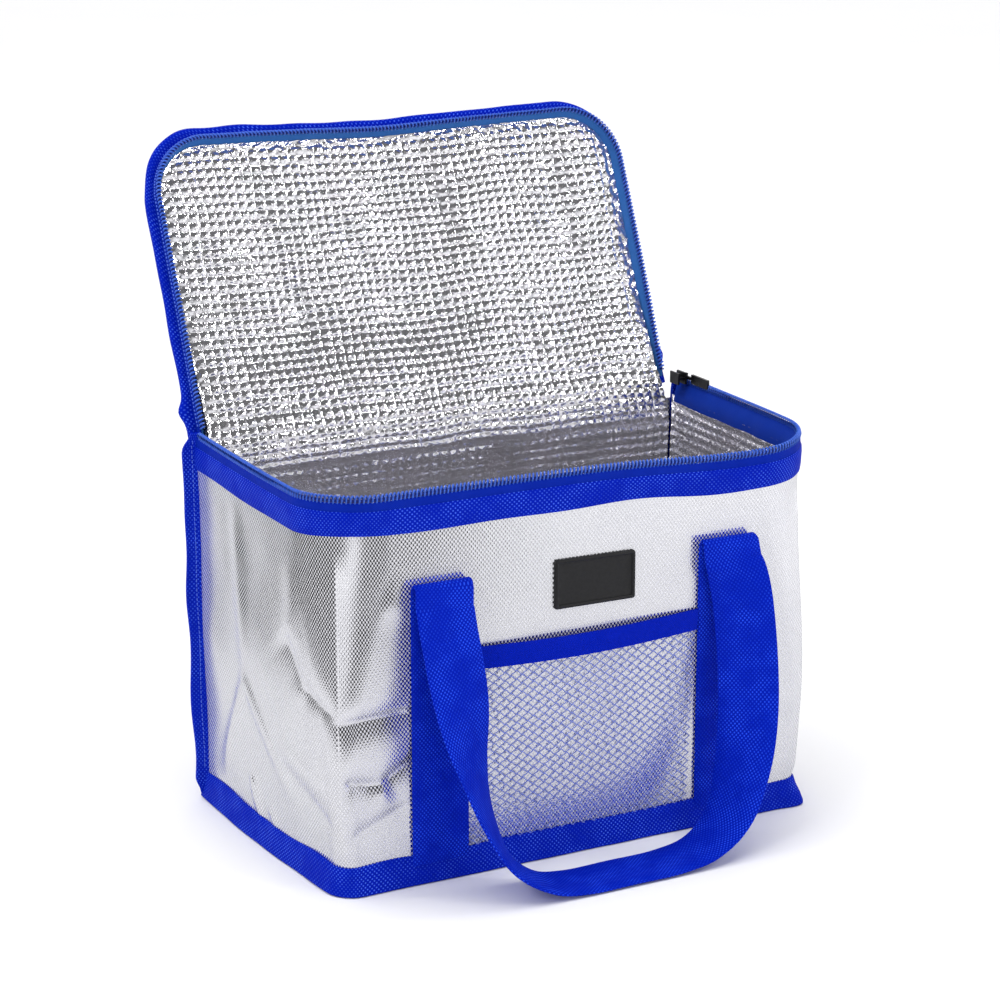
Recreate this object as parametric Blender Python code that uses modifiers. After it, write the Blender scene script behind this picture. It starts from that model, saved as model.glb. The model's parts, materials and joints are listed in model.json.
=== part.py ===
"""Insulated cooler bag with a zipped lid, two webbing handles and a mesh front pocket.

Metres, +Z up. X runs along the bag's width, -Y is the front, and the origin is the middle of the
underside. The lid stands open, leaning back on its hinge; its pieces are drawn closed and turned
about the hinge by an empty.
"""

import math

import bmesh
import bpy
from mathutils import Vector

MM = 0.001
GAP = 0.3 * MM

# Body
WIDTH = 280 * MM
DEPTH = 154 * MM
HALF_WIDTH = WIDTH / 2
HALF_DEPTH = DEPTH / 2
ZIP_TOP = 203 * MM  # top of the zipper half that stays on the body
CORNER_AT_BASE = 8 * MM
CORNER_AT_TOP = 36 * MM
SOFTENING_FROM = 50 * MM  # the front corners widen from here ...
SOFTENING_TO = 180 * MM  # ... to here
ARC_STEPS = 6
WALL_ROWS = 6

# Wall build-up, from the outside in
SKIN = 0.8 * MM
FOAM = 4.0 * MM
FOIL = 0.5 * MM
BOARD = 1.6 * MM
FOAM_INSET = SKIN + GAP
FOIL_INSET = FOAM_INSET + FOAM + GAP

# Ribbon and zipper
WALL_TOP = 194 * MM
LINING_TOP = 192.4 * MM
BACK_TOP = 202.4 * MM
BASE_RIBBON_HEIGHT = 14 * MM
BASE_RIBBON = 2.5 * MM
TOP_RIBBON_LOW = 183.5 * MM
TOP_RIBBON_HIGH = 195.5 * MM
TOP_RIBBON = 1.2 * MM
TAPE = 0.6 * MM
COIL_RADIUS = 1.3 * MM
COIL_INSET = TAPE / 2
COIL_Z = ZIP_TOP - COIL_RADIUS
ZIP_REAR = HALF_DEPTH - 2.2 * MM
FIN_WIDTH = 9 * MM
FIN_THICKNESS = 2.2 * MM
FIN_ANGLE = math.radians(20)
FIN_TOP = 199 * MM

# Lid, in its closed place
HINGE = Vector((0, HALF_DEPTH, ZIP_TOP))
LID_OPEN = math.radians(114.6)
COILS_APART = 2.0 * MM
UPPER_COIL_Z = ZIP_TOP + COILS_APART + COIL_RADIUS
LID_TOP = UPPER_COIL_Z + 9 * MM
LID_OVERHANG = 1 * MM
LID_RIBBON_WIDTH = 5 * MM
LID_RIBBON_HEIGHT = 3 * MM

# Webbing, handles, pocket and badge
WEBBING = 1.5 * MM
STRAP_WIDTH = 32 * MM
STRAP_X = 84 * MM
STRAP_TURN = 146 * MM
PIVOT_OUT = 7 * MM  # handle axis, out from the wall
PIVOT_Z = 153 * MM
PIVOT_CLEARANCE = 1.2 * MM
HANDLE_FORWARD = 32 * MM  # how far out the loop lies at the floor
HANDLE_LOW = 1.3 * MM
HANDLE_STEPS = 36
POCKET_HALF_WIDTH = STRAP_X - STRAP_WIDTH / 2 - 0.5 * MM
POCKET_DEPTH = 5.8 * MM
POCKET_LOW = BASE_RIBBON_HEIGHT + 0.6 * MM
POCKET_SHEET = 0.6 * MM
HEM_LOW = 108 * MM
HEM_HIGH = 120 * MM
HEM = 1.8 * MM
BADGE_SIZE = Vector((50 * MM, 1.6 * MM, 26 * MM))
BADGE_PLACE = (7 * MM, 143 * MM)

# Zipper slider and its pull
SLIDER_Y = HALF_DEPTH - 15 * MM
SLIDER_LENGTH = 9 * MM
PULL_LENGTH = 24 * MM

BLUE = (0.004, 0.022, 0.46)
DEEP_BLUE = (0.004, 0.018, 0.30)
SILVER = (0.76, 0.76, 0.79)
CHARCOAL = (0.025, 0.025, 0.028)
WHITE = (0.80, 0.80, 0.80)


def clear_scene():
    for obj in list(bpy.data.objects):
        bpy.data.objects.remove(obj)


def new_collection(name):
    collection = bpy.data.collections.new(name)
    bpy.context.scene.collection.children.link(collection)
    return collection


def new_material(name, colour, roughness, metallic=0.0):
    material = bpy.data.materials.new(name)
    material.use_nodes = True
    shader = material.node_tree.nodes["Principled BSDF"]
    shader.inputs["Base Color"].default_value = (*colour, 1)
    shader.inputs["Roughness"].default_value = roughness
    shader.inputs["Metallic"].default_value = metallic
    material.diffuse_color = (*colour, 1)
    return material


clear_scene()
PARTS = new_collection("insulated_cooler_bag")
TOOLS = new_collection("union_tools")


def add_part(name, data, colour, roughness, metallic=0.0, parent=None, location=(0, 0, 0)):
    """Puts one sub-part in the scene, in a material of its own."""
    obj = bpy.data.objects.new(name, data)
    data.name = name
    data.materials.append(new_material(name, colour, roughness, metallic))
    obj.location = location
    obj.parent = parent
    PARTS.objects.link(obj)
    return obj


def add_tool(name, mesh):
    """A solid that is joined into another one and not kept."""
    obj = bpy.data.objects.new(name, mesh)
    obj.hide_render = True
    obj.display_type = "WIRE"
    TOOLS.objects.link(obj)
    return obj


def add_pivot(name, location, turn_x=0.0):
    empty = bpy.data.objects.new(name, None)
    empty.location = location
    empty.rotation_euler.x = turn_x
    PARTS.objects.link(empty)
    return empty


def solidify(obj, thickness):
    """Gives an open surface its thickness, inwards from the face it shows."""
    modifier = obj.modifiers.new("thickness", "SOLIDIFY")
    modifier.thickness = thickness
    modifier.offset = -1
    modifier.use_even_offset = True
    modifier.use_quality_normals = True


def smoothstep(value, low, high):
    t = min(max((value - low) / (high - low), 0), 1)
    return t * t * (3 - 2 * t)


def mesh_from(bm, name):
    bmesh.ops.recalc_face_normals(bm, faces=bm.faces)
    mesh = bpy.data.meshes.new(name)
    bm.to_mesh(mesh)
    bm.free()
    return mesh


def sheet_mesh(name, rows):
    """An open surface through rows of points, facing out when the rows run left to right, upwards."""
    bm = bmesh.new()
    grid = [[bm.verts.new(point) for point in row] for row in rows]
    for low, high in zip(grid, grid[1:]):
        for i in range(len(low) - 1):
            bm.faces.new((low[i], low[i + 1], high[i + 1], high[i]))
    mesh = bpy.data.meshes.new(name)
    bm.to_mesh(mesh)
    bm.free()
    return mesh


def loft_mesh(name, sections):
    """A closed solid through unlike closed sections, capped at both ends."""
    bm = bmesh.new()
    rings = [[bm.verts.new(point) for point in section] for section in sections]
    for first, second in zip(rings, rings[1:]):
        for i in range(len(first)):
            j = (i + 1) % len(first)
            bm.faces.new((first[i], first[j], second[j], second[i]))
    bm.faces.new(rings[0])
    bm.faces.new(rings[-1])
    return mesh_from(bm, name)


def box_mesh(name, low, high):
    bm = bmesh.new()
    bmesh.ops.create_cube(bm, size=1)
    size = Vector(high) - Vector(low)
    bmesh.ops.scale(bm, verts=bm.verts, vec=size)
    bmesh.ops.translate(bm, verts=bm.verts, vec=Vector(low) + size / 2)
    return mesh_from(bm, name)


def flat_curve(name, outlines, thickness):
    """A flat outline, with any holes, filled and given its thickness."""
    curve = bpy.data.curves.new(name, "CURVE")
    curve.dimensions = "2D"
    curve.fill_mode = "BOTH"
    curve.extrude = thickness / 2
    for outline in outlines:
        spline = curve.splines.new("POLY")
        spline.points.add(len(outline) - 1)
        for point, (x, y) in zip(spline.points, outline):
            point.co = (x, y, 0, 1)
        spline.use_cyclic_u = True
    return curve


def circle(centre_x, centre_y, radius, steps=12):
    turns = [2 * math.pi * i / steps for i in range(steps)]
    return [(centre_x + radius * math.cos(t), centre_y + radius * math.sin(t)) for t in turns]


def corner_radius(z):
    """The front corners are tight at the base and soft at the rim."""
    grown = smoothstep(z, SOFTENING_FROM, SOFTENING_TO)
    return CORNER_AT_BASE + (CORNER_AT_TOP - CORNER_AT_BASE) * grown


def plan(inset, radius, rear):
    """Plan outline from the rear left, round both front corners, to the rear right."""
    half_x = HALF_WIDTH - inset
    half_y = HALF_DEPTH - inset
    radius = radius - inset
    points = [(-half_x, rear)]
    for side, start in ((-1, math.pi), (1, 1.5 * math.pi)):
        for step in range(ARC_STEPS + 1):
            turn = start + math.pi / 2 * step / ARC_STEPS
            x = side * (half_x - radius) + radius * math.cos(turn)
            y = -(half_y - radius) + radius * math.sin(turn)
            points.append((x, y))
    points.append((half_x, rear))
    return points


def band_rows(levels, rear, radius=None, origin=Vector((0, 0, 0))):
    """Rows for a three-sided band. levels holds (z, inset) pairs, from low to high."""
    rows = []
    for z, inset in levels:
        outline = plan(inset, corner_radius(z) if radius is None else radius, rear)
        rows.append([Vector((x, y, z)) - origin for x, y in outline])
    return rows


def wall_levels(low, high, inset):
    return [(low + (high - low) * i / WALL_ROWS, inset) for i in range(WALL_ROWS + 1)]


def add_band(name, levels, rear, thickness, colour, roughness, metallic=0.0, **options):
    """A three-sided band that follows the bag's front corners."""
    parent = options.pop("parent", None)
    mesh = sheet_mesh(name, band_rows(levels, rear, **options))
    obj = add_part(name, mesh, colour, roughness, metallic, parent)
    solidify(obj, thickness)
    return obj


def add_box(name, low, high, colour, roughness, metallic=0.0, parent=None):
    return add_part(name, box_mesh(name, low, high), colour, roughness, metallic, parent)


def add_plate(name, inset, radius, rear, low, high, look, parent=None, origin=Vector((0, 0, 0))):
    """A flat sheet with the bag's plan."""
    outline = [(x - origin.x, y - origin.y) for x, y in plan(inset, radius, rear)]
    curve = flat_curve(name, [outline], high - low)
    place = (0, 0, (low + high) / 2 - origin.z)
    return add_part(name, curve, *look, parent=parent, location=place)


# Looks: colour, roughness, metallic
SILVER_SKIN = (SILVER, 0.35, 0.7)
FOIL_LOOK = (SILVER, 0.25, 0.9)
FOAM_LOOK = (WHITE, 0.9, 0.0)
RIBBON_LOOK = (BLUE, 0.75, 0.0)
TAPE_LOOK = (DEEP_BLUE, 0.8, 0.0)
METAL_LOOK = (CHARCOAL, 0.35, 0.8)


def make_walls():
    foam_rear = HALF_DEPTH - FOIL_INSET
    foil_rear = foam_rear - FOIL - GAP
    skin_low = SKIN + GAP
    foam_low = skin_low + BOARD + GAP
    foil_low = foam_low + FOAM + GAP + FOIL + GAP
    add_band("outer_wall", wall_levels(skin_low, WALL_TOP, 0), HALF_DEPTH - FOAM_INSET, SKIN, *SILVER_SKIN)
    add_band("wall_foam", wall_levels(foam_low, LINING_TOP, FOAM_INSET), foam_rear, FOAM, *FOAM_LOOK)
    add_band("wall_liner", wall_levels(foil_low, LINING_TOP, FOIL_INSET), foil_rear, FOIL, *FOIL_LOOK)
    back = HALF_DEPTH
    add_box("back_panel", (-HALF_WIDTH, back - SKIN, skin_low), (HALF_WIDTH, back, BACK_TOP), *SILVER_SKIN)
    half_x = HALF_WIDTH - FOAM_INSET
    back -= FOAM_INSET
    foam_top = BACK_TOP - 5 * MM
    add_box("back_foam", (-half_x, back - FOAM, foam_low), (half_x, back, foam_top), *FOAM_LOOK)
    half_x = HALF_WIDTH - FOIL_INSET
    back -= FOAM + GAP
    add_box("back_liner", (-half_x, back - FOIL, foil_low), (half_x, back, foam_top), *FOIL_LOOK)


def make_base():
    """Skin, stiffening board, foam and foil, one above the other."""
    level = 0.0
    layers = (
        ("base_panel", SKIN, 0.0, HALF_DEPTH, SILVER_SKIN),
        ("base_board", BOARD, FOAM_INSET, HALF_DEPTH - FOAM_INSET, (CHARCOAL, 0.6, 0.0)),
        ("base_foam", FOAM, FOIL_INSET, HALF_DEPTH - FOIL_INSET, FOAM_LOOK),
        ("base_liner", FOIL, FOIL_INSET, HALF_DEPTH - FOIL_INSET - FOIL - GAP, FOIL_LOOK),
    )
    for name, thickness, inset, rear, look in layers:
        add_plate(name, inset, CORNER_AT_BASE, rear, level, level + thickness, look)
        level += thickness + GAP


def make_ribbons():
    outline = plan(-(GAP + BASE_RIBBON), CORNER_AT_BASE, HALF_DEPTH + GAP + BASE_RIBBON)
    outline.append(outline[0])
    rows = [[Vector((x, y, z)) for x, y in outline] for z in (0, BASE_RIBBON_HEIGHT)]
    bm = bmesh.new()
    bm.from_mesh(sheet_mesh("ring", rows))
    bmesh.ops.remove_doubles(bm, verts=bm.verts, dist=0.01 * MM)
    mesh = bpy.data.meshes.new("bottom_binding")
    bm.to_mesh(mesh)
    bm.free()
    solidify(add_part("bottom_binding", mesh, *RIBBON_LOOK), BASE_RIBBON)

    add_band(
        "top_binding",
        [(TOP_RIBBON_LOW, -GAP - TOP_RIBBON), (TOP_RIBBON_HIGH, -GAP - TOP_RIBBON)],
        ZIP_REAR,
        TOP_RIBBON,
        *RIBBON_LOOK,
        radius=CORNER_AT_TOP,
    )
    for side, name in ((-1, "rear_left_binding"), (1, "rear_right_binding")):
        low = BASE_RIBBON_HEIGHT + GAP
        mesh = box_mesh(name, (0, -FIN_THICKNESS / 2, low), (FIN_WIDTH, FIN_THICKNESS / 2, FIN_TOP))
        if side < 0:
            mesh = box_mesh(name, (-FIN_WIDTH, -FIN_THICKNESS / 2, low), (0, FIN_THICKNESS / 2, FIN_TOP))
        place = (side * (HALF_WIDTH + 0.8 * MM), HALF_DEPTH - 0.4 * MM, 0)
        fin = add_part(name, mesh, *RIBBON_LOOK, location=place)
        fin.rotation_euler.z = side * FIN_ANGLE
        bevel = fin.modifiers.new("soft_edges", "BEVEL")
        bevel.width = 0.7 * MM
        bevel.segments = 2


def coil_curve(name, z, origin=Vector((0, 0, 0))):
    curve = bpy.data.curves.new(name, "CURVE")
    curve.dimensions = "3D"
    curve.bevel_depth = COIL_RADIUS
    curve.bevel_resolution = 2
    curve.use_fill_caps = True
    outline = plan(COIL_INSET, CORNER_AT_TOP, ZIP_REAR)
    spline = curve.splines.new("POLY")
    spline.points.add(len(outline) - 1)
    for point, (x, y) in zip(spline.points, outline):
        point.co = (x - origin.x, y - origin.y, z - origin.z, 1)
    return curve


def make_lower_zipper():
    tape = [(WALL_TOP + GAP, 0), (COIL_Z - COIL_RADIUS - GAP, 0)]
    add_band("lower_zipper_tape", tape, ZIP_REAR, TAPE, *TAPE_LOOK, radius=CORNER_AT_TOP)
    add_part("lower_zipper_coil", coil_curve("lower_zipper_coil", COIL_Z), *TAPE_LOOK)
    facing = [(LINING_TOP + 0.6 * MM, FOIL_INSET), (COIL_Z - COIL_RADIUS - 0.7 * MM, TAPE + 0.4 * MM)]
    add_band("body_rim_lining", facing, ZIP_REAR - 5 * MM, FOIL, *TAPE_LOOK, radius=CORNER_AT_TOP)


def make_lid():
    """Every piece is drawn closed, about the hinge, and the pivot turns it open."""
    pivot = add_pivot("lid_pivot", HINGE, -LID_OPEN)
    place = {"parent": pivot, "origin": HINGE}
    panel_low = LID_TOP - SKIN
    foam_high = panel_low - GAP
    foam_low = foam_high - FOAM
    foil_high = foam_low - GAP
    foil_low = foil_high - FOIL
    rear = HALF_DEPTH - FOAM_INSET
    round_top = CORNER_AT_TOP
    add_plate("lid_panel", -LID_OVERHANG, round_top, HALF_DEPTH, panel_low, LID_TOP, SILVER_SKIN, **place)
    add_plate("lid_foam", FOAM_INSET, round_top, rear, foam_low, foam_high, FOAM_LOOK, **place)
    add_plate("lid_liner", FOIL_INSET, round_top, rear, foil_low, foil_high, FOIL_LOOK, **place)

    band = dict(place, radius=CORNER_AT_TOP)
    coil_top = UPPER_COIL_Z + COIL_RADIUS
    tape = [(coil_top + GAP, 0), (foam_high - 0.4 * MM, 0)]
    add_band("upper_zipper_tape", tape, ZIP_REAR, TAPE, *TAPE_LOOK, **band)
    coil = coil_curve("upper_zipper_coil", UPPER_COIL_Z, HINGE)
    add_part("upper_zipper_coil", coil, *TAPE_LOOK, parent=pivot)
    facing = [(coil_top + 0.4 * MM, TAPE + 0.4 * MM), (foil_high - 0.4 * MM, FOIL_INSET - 0.6 * MM)]
    add_band("lid_rim_lining", facing, ZIP_REAR, 0.4 * MM, *TAPE_LOOK, **band)
    edge = -LID_OVERHANG - GAP - LID_RIBBON_WIDTH
    ribbon = [(LID_TOP - LID_RIBBON_HEIGHT, edge), (LID_TOP, edge)]
    add_band("lid_binding", ribbon, ZIP_REAR, LID_RIBBON_WIDTH, *RIBBON_LOOK, **band)
    fold_x = HALF_WIDTH - 1 * MM
    low = Vector((-fold_x, HALF_DEPTH - SKIN, ZIP_TOP + 0.6 * MM)) - HINGE
    high = Vector((fold_x, HALF_DEPTH, foam_high)) - HINGE
    add_box("hinge_fold", low, high, *SILVER_SKIN, parent=pivot)


def webbing_mesh(name, path, across, thickness=WEBBING, width=STRAP_WIDTH):
    """A flat strap along path; across holds the direction of its width at each point."""
    sections = []
    last = len(path) - 1
    for i, point in enumerate(path):
        along = (path[min(i + 1, last)] - path[max(i - 1, 0)]).normalized()
        side = (across[i] - across[i].dot(along) * along).normalized() * width / 2
        out = along.cross(side).normalized() * thickness / 2
        sections.append([point - side - out, point + side - out, point + side + out, point - side + out])
    return loft_mesh(name, sections)


def smooth_path(points, steps):
    """Points along a Catmull-Rom curve through the given ones."""
    points = [Vector(point) for point in points]
    ends = [2 * points[0] - points[1]] + points + [2 * points[-1] - points[-2]]
    path = []
    spans = len(points) - 1
    for step in range(steps + 1):
        place = min(step * spans / steps, spans - 1e-9)
        span = int(place)
        t = place - span
        a, b, c, d = ends[span : span + 4]
        path.append(0.5 * (2 * b + (c - a) * t + (2 * a - 5 * b + 4 * c - d) * t**2 + (3 * b - a - 3 * c + d) * t**3))
    return path


def make_sewn_straps():
    """The runs of webbing that are sewn down, each turning out at its top to meet its handle."""
    lying = -(HALF_DEPTH + GAP + WEBBING / 2)
    pivot_y = -(HALF_DEPTH + PIVOT_OUT)
    profile = [
        (lying, BASE_RIBBON_HEIGHT + 0.6 * MM),
        (lying, 80 * MM),
        (lying, STRAP_TURN),
        (lying - 0.5 * MM, STRAP_TURN + 3 * MM),
        (lying - 1.9 * MM, STRAP_TURN + 5.6 * MM),
        (pivot_y + PIVOT_CLEARANCE, PIVOT_Z),
    ]
    for face, end in ((1, "front"), (-1, "rear")):
        for side, hand in ((-1, "left"), (1, "right")):
            name = f"{end}_strap_{hand}"
            path = [Vector((side * STRAP_X, face * y, z)) for y, z in profile]
            mesh = webbing_mesh(name, path, [Vector((1, 0, 0))] * len(path))
            add_part(name, mesh, *RIBBON_LOOK)


def handle_route():
    """Half of the loop, as (x, z), from below its left pivot down to the floor."""
    return [(-84, 147), (-81.5, 130), (-79.5, 100), (-77, 70), (-72, 43), (-62, 19), (-46, 5.5), (-26, 1.3)]


def make_handles():
    """Each loop hangs from its two pivots and twists a quarter turn to lie flat on the floor."""
    half = [(x * MM, z * MM) for x, z in handle_route()]
    route = half + [(0, HANDLE_LOW)] + [(-x, z) for x, z in reversed(half)]
    drop = PIVOT_Z - HANDLE_LOW
    for face, name in ((1, "front_handle"), (-1, "rear_handle")):
        pivot = Vector((0, -face * (HALF_DEPTH + PIVOT_OUT), PIVOT_Z))
        points = [(x, -face * HANDLE_FORWARD * (PIVOT_Z - z) / drop, z - PIVOT_Z) for x, z in route]
        path = smooth_path(points, HANDLE_STEPS)
        top = Vector((STRAP_X, -face * HANDLE_FORWARD * PIVOT_CLEARANCE / drop, -PIVOT_CLEARANCE))
        path = [Vector((-top.x, top.y, top.z)), *path, top]
        across = []
        for point in path:
            turn = math.pi / 2 * smoothstep(-point.z, 40 * MM, 145 * MM)
            lean = -1 if point.x < 0 else 1
            across.append(Vector((-lean * math.cos(turn), face * math.sin(turn), 0)))
        add_part(name, webbing_mesh(name, path, across), *RIBBON_LOOK, location=pivot)


def pocket_depth(x, z):
    """How far the pocket stands off the wall: nothing at its sewn edges."""
    from_side = smoothstep(POCKET_HALF_WIDTH - abs(x), 0, 9 * MM)
    from_base = smoothstep(z - POCKET_LOW, -2 * MM, 14 * MM)
    return 0.5 * MM + (POCKET_DEPTH - 0.5 * MM) * from_side * from_base


def pocket_rows(levels, outward):
    steps = [-1, -0.97, -0.94, -0.9, -0.86, -0.5, 0, 0.5, 0.86, 0.9, 0.94, 0.97, 1]
    rows = []
    for z in levels:
        xs = [step * POCKET_HALF_WIDTH for step in steps]
        rows.append([Vector((x, -(HALF_DEPTH + pocket_depth(x, z) + outward), z)) for x in xs])
    return rows


def make_pocket():
    levels = [POCKET_LOW + rise * MM for rise in (0, 3, 6, 9, 12, 16, 45, 70)]
    levels.append(HEM_LOW - GAP)
    mesh = sheet_mesh("pocket_mesh", pocket_rows(levels, POCKET_SHEET))
    solidify(add_part("pocket_mesh", mesh, *RIBBON_LOOK), POCKET_SHEET)
    mesh = sheet_mesh("pocket_hem", pocket_rows((HEM_LOW, HEM_HIGH), HEM))
    solidify(add_part("pocket_hem", mesh, *RIBBON_LOOK), HEM)


def make_badge():
    x, z = BADGE_PLACE
    centre = Vector((x, -(HALF_DEPTH + GAP + BADGE_SIZE.y / 2), z))
    bm = bmesh.new()
    bmesh.ops.create_cube(bm, size=1)
    bmesh.ops.scale(bm, verts=bm.verts, vec=BADGE_SIZE)
    bmesh.ops.translate(bm, verts=bm.verts, vec=centre)
    face = min(bm.faces, key=lambda f: f.calc_center_median().y)
    bmesh.ops.inset_region(bm, faces=[face], thickness=1.6 * MM)
    bmesh.ops.inset_region(bm, faces=[face], thickness=0.3 * MM, depth=-0.5 * MM)
    add_part("badge", mesh_from(bm, "badge"), CHARCOAL, 0.6)


def join(obj, tools):
    for tool in tools:
        modifier = obj.modifiers.new("join", "BOOLEAN")
        modifier.operation = "UNION"
        modifier.object = tool


def make_slider():
    """An H section that rides on the coils, with two ears and a pin for the pull."""
    coil_x = HALF_WIDTH - COIL_INSET
    middle_z = ZIP_TOP + COILS_APART / 2
    plate_low, plate_high = -3.3 * MM, 3.3 * MM
    near, inner, outer = 1.7 * MM, 2.7 * MM, 2.9 * MM
    bridge = 0.65 * MM
    corners = [
        (-inner, plate_low), (-near, plate_low), (-near, -bridge), (near, -bridge),
        (near, plate_low), (outer, plate_low), (outer, plate_high), (near, plate_high),
        (near, bridge), (-near, bridge), (-near, plate_high), (-inner, plate_high),
    ]
    start = SLIDER_Y - SLIDER_LENGTH / 2
    sections = [
        [(coil_x + x, start + run, middle_z + z) for x, z in corners] for run in (0, SLIDER_LENGTH)
    ]
    slider = add_part("zipper_slider", loft_mesh("zipper_slider", sections), *METAL_LOOK)

    pin_x = coil_x + outer + 1.9 * MM
    tools = []
    for name, low, high in (("ear_low", -2.2, -1.3), ("ear_high", 1.3, 2.2)):
        ear_low = (coil_x + outer - 0.4 * MM, SLIDER_Y - 1.2 * MM, middle_z + low * MM)
        ear_high = (pin_x + 1.0 * MM, SLIDER_Y + 1.2 * MM, middle_z + high * MM)
        tools.append(add_tool(name, box_mesh(name, ear_low, ear_high)))
    bm = bmesh.new()
    bmesh.ops.create_cone(bm, cap_ends=True, segments=12, radius1=0.55 * MM, radius2=0.55 * MM, depth=3.4 * MM)
    bmesh.ops.translate(bm, verts=bm.verts, vec=(pin_x, SLIDER_Y, middle_z))
    tools.append(add_tool("pin", mesh_from(bm, "pin")))
    join(slider, tools)

    eye = flat_curve("eye", [circle(0, 0, 1.5 * MM), circle(0, 0, 0.9 * MM)], 2.0 * MM)
    eye_source = bpy.data.objects.new("eye_source", eye)
    TOOLS.objects.link(eye_source)
    bpy.context.view_layer.update()
    bm = bmesh.new()
    bm.from_mesh(bpy.data.meshes.new_from_object(eye_source.evaluated_get(bpy.context.evaluated_depsgraph_get())))
    bmesh.ops.remove_doubles(bm, verts=bm.verts, dist=0.001 * MM)
    bpy.data.objects.remove(eye_source)
    pull = add_part(
        "zipper_pull", mesh_from(bm, "zipper_pull"), *METAL_LOOK, location=(pin_x, SLIDER_Y, middle_z)
    )
    neck = box_mesh("neck", (-0.6 * MM, -8 * MM, -0.8 * MM), (0.6 * MM, -1.15 * MM, 0.8 * MM))
    grip = box_mesh("grip", (-0.75 * MM, -PULL_LENGTH, -2.6 * MM), (0.75 * MM, -7 * MM, 2.6 * MM))
    tools = []
    for name, mesh in (("neck", neck), ("grip", grip)):
        tool = add_tool(name, mesh)
        tool.location = pull.location
        tools.append(tool)
    join(pull, tools)


make_walls()
make_base()
make_ribbons()
make_lower_zipper()
make_lid()
make_sewn_straps()
make_handles()
make_pocket()
make_badge()
make_slider()
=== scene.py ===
"""Looks of the insulated cooler bag: cloth, foil, ribbon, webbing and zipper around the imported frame."""
import json
import math

import bpy
import numpy as np
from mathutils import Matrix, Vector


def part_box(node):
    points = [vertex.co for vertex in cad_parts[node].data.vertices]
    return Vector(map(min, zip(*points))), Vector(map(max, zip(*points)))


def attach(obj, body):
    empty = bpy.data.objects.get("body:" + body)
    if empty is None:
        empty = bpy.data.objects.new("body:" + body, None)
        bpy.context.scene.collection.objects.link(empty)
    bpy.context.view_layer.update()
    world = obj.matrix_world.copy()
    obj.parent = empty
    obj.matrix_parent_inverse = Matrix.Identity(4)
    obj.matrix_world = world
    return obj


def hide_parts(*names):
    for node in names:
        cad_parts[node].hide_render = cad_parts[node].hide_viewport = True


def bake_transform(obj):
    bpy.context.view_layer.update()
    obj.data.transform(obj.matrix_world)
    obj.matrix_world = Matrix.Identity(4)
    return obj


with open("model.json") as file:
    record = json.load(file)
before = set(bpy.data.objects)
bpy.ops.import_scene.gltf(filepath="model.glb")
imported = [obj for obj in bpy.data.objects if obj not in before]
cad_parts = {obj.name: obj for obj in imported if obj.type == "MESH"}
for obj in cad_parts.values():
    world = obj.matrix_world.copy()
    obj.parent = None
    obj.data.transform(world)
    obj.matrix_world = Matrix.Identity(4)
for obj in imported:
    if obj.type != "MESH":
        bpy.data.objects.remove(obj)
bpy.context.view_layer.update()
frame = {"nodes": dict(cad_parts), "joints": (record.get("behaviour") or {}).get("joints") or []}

MM = 0.001

# ---------------------------------------------------------------- sizes, from the frame

wall_low, wall_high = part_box("outer_wall")
band_low, band_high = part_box("top_binding")
coil_low, coil_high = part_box("lower_zipper_coil")
hinge = next(j for j in frame["joints"] if j["name"] == "lid_hinge")
HINGE_Y, HINGE_Z = hinge["pos_m"][1:]
REAR_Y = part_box("back_panel")[1].y
FRONT_Y = wall_low.y - 2 * MM
HALF_WIDTH = wall_high.x
DEPTH = HINGE_Y - wall_low.y
COIL_Z = (coil_low.z + coil_high.z) / 2
RIM_Z = band_high.z
swing = next(j for j in frame["joints"] if j["name"] == "front_handle_swing")
PIVOT_Y, PIVOT_Z = swing["pos_m"][1:]

# The base is cut narrower than the rim: how far each corner stands outside the plain half width.
REAR_LEFT_OUT = (3.3 * MM, 5.0 * MM)  # at the floor, at the rim
FRONT_LEFT_OUT = (-5.4 * MM, 4.2 * MM)
FRONT_RIGHT_OUT = (-9.0 * MM, 3.8 * MM)
REAR_RIGHT_OUT = (1.0 * MM, 7.0 * MM)
RIM_RADIUS = 36 * MM
BASE_RADIUS = 9 * MM
CREASE_LOW, CREASE_HIGH = 55 * MM, 185 * MM  # where the front corners open from a crease into a round

FOAM_INSET = 1.1 * MM
FOAM = 4 * MM
FOIL_INSET = 5.6 * MM
FOIL_SEAM_Z = 176 * MM  # below it the foil is the back's, above it the lid's
HINGE_SKIN_Z = 186 * MM  # where the strip over the hinge starts
QUILT_X, QUILT_Z = 5.4 * MM, 4.9 * MM  # cells of the embossed foil
LID_QUILT_SEED = 57

SIDE, FRONT = DEPTH, 2 * HALF_WIDTH
# The corners, as distances round the wall: rear left, front left, front right, rear right, rear left.
MARKS = np.cumsum([0, SIDE, FRONT, SIDE, FRONT])


def smoothstep(t):
    t = np.clip(t, 0.0, 1.0)
    return t * t * (3 - 2 * t)


def rise(value, low, high):
    """A smooth step from 0 to 1 as value goes from low to high, given in mm; it falls where high is below low."""
    return smoothstep((value - low * MM) / ((high - low) * MM))


def bump_at(value, centre, width):
    return np.exp(-(((value - centre) / width) ** 2))


def unit(v):
    return v / np.maximum(np.linalg.norm(v, axis=-1, keepdims=True), 1e-12)


def ripple(u, v, size, seed, waves=7):
    """Smooth seeded noise, mostly from -1 to 1, with lumps about size across."""
    random = np.random.default_rng(seed)
    total = 0.0
    for _ in range(waves):
        angle, phase = random.uniform(0, 2 * math.pi, 2)
        k = 2 * math.pi / size * random.uniform(0.5, 1.2)
        total = total + np.sin(k * (u * math.cos(angle) + v * math.sin(angle)) + phase)
    return total / waves**0.5


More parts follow.
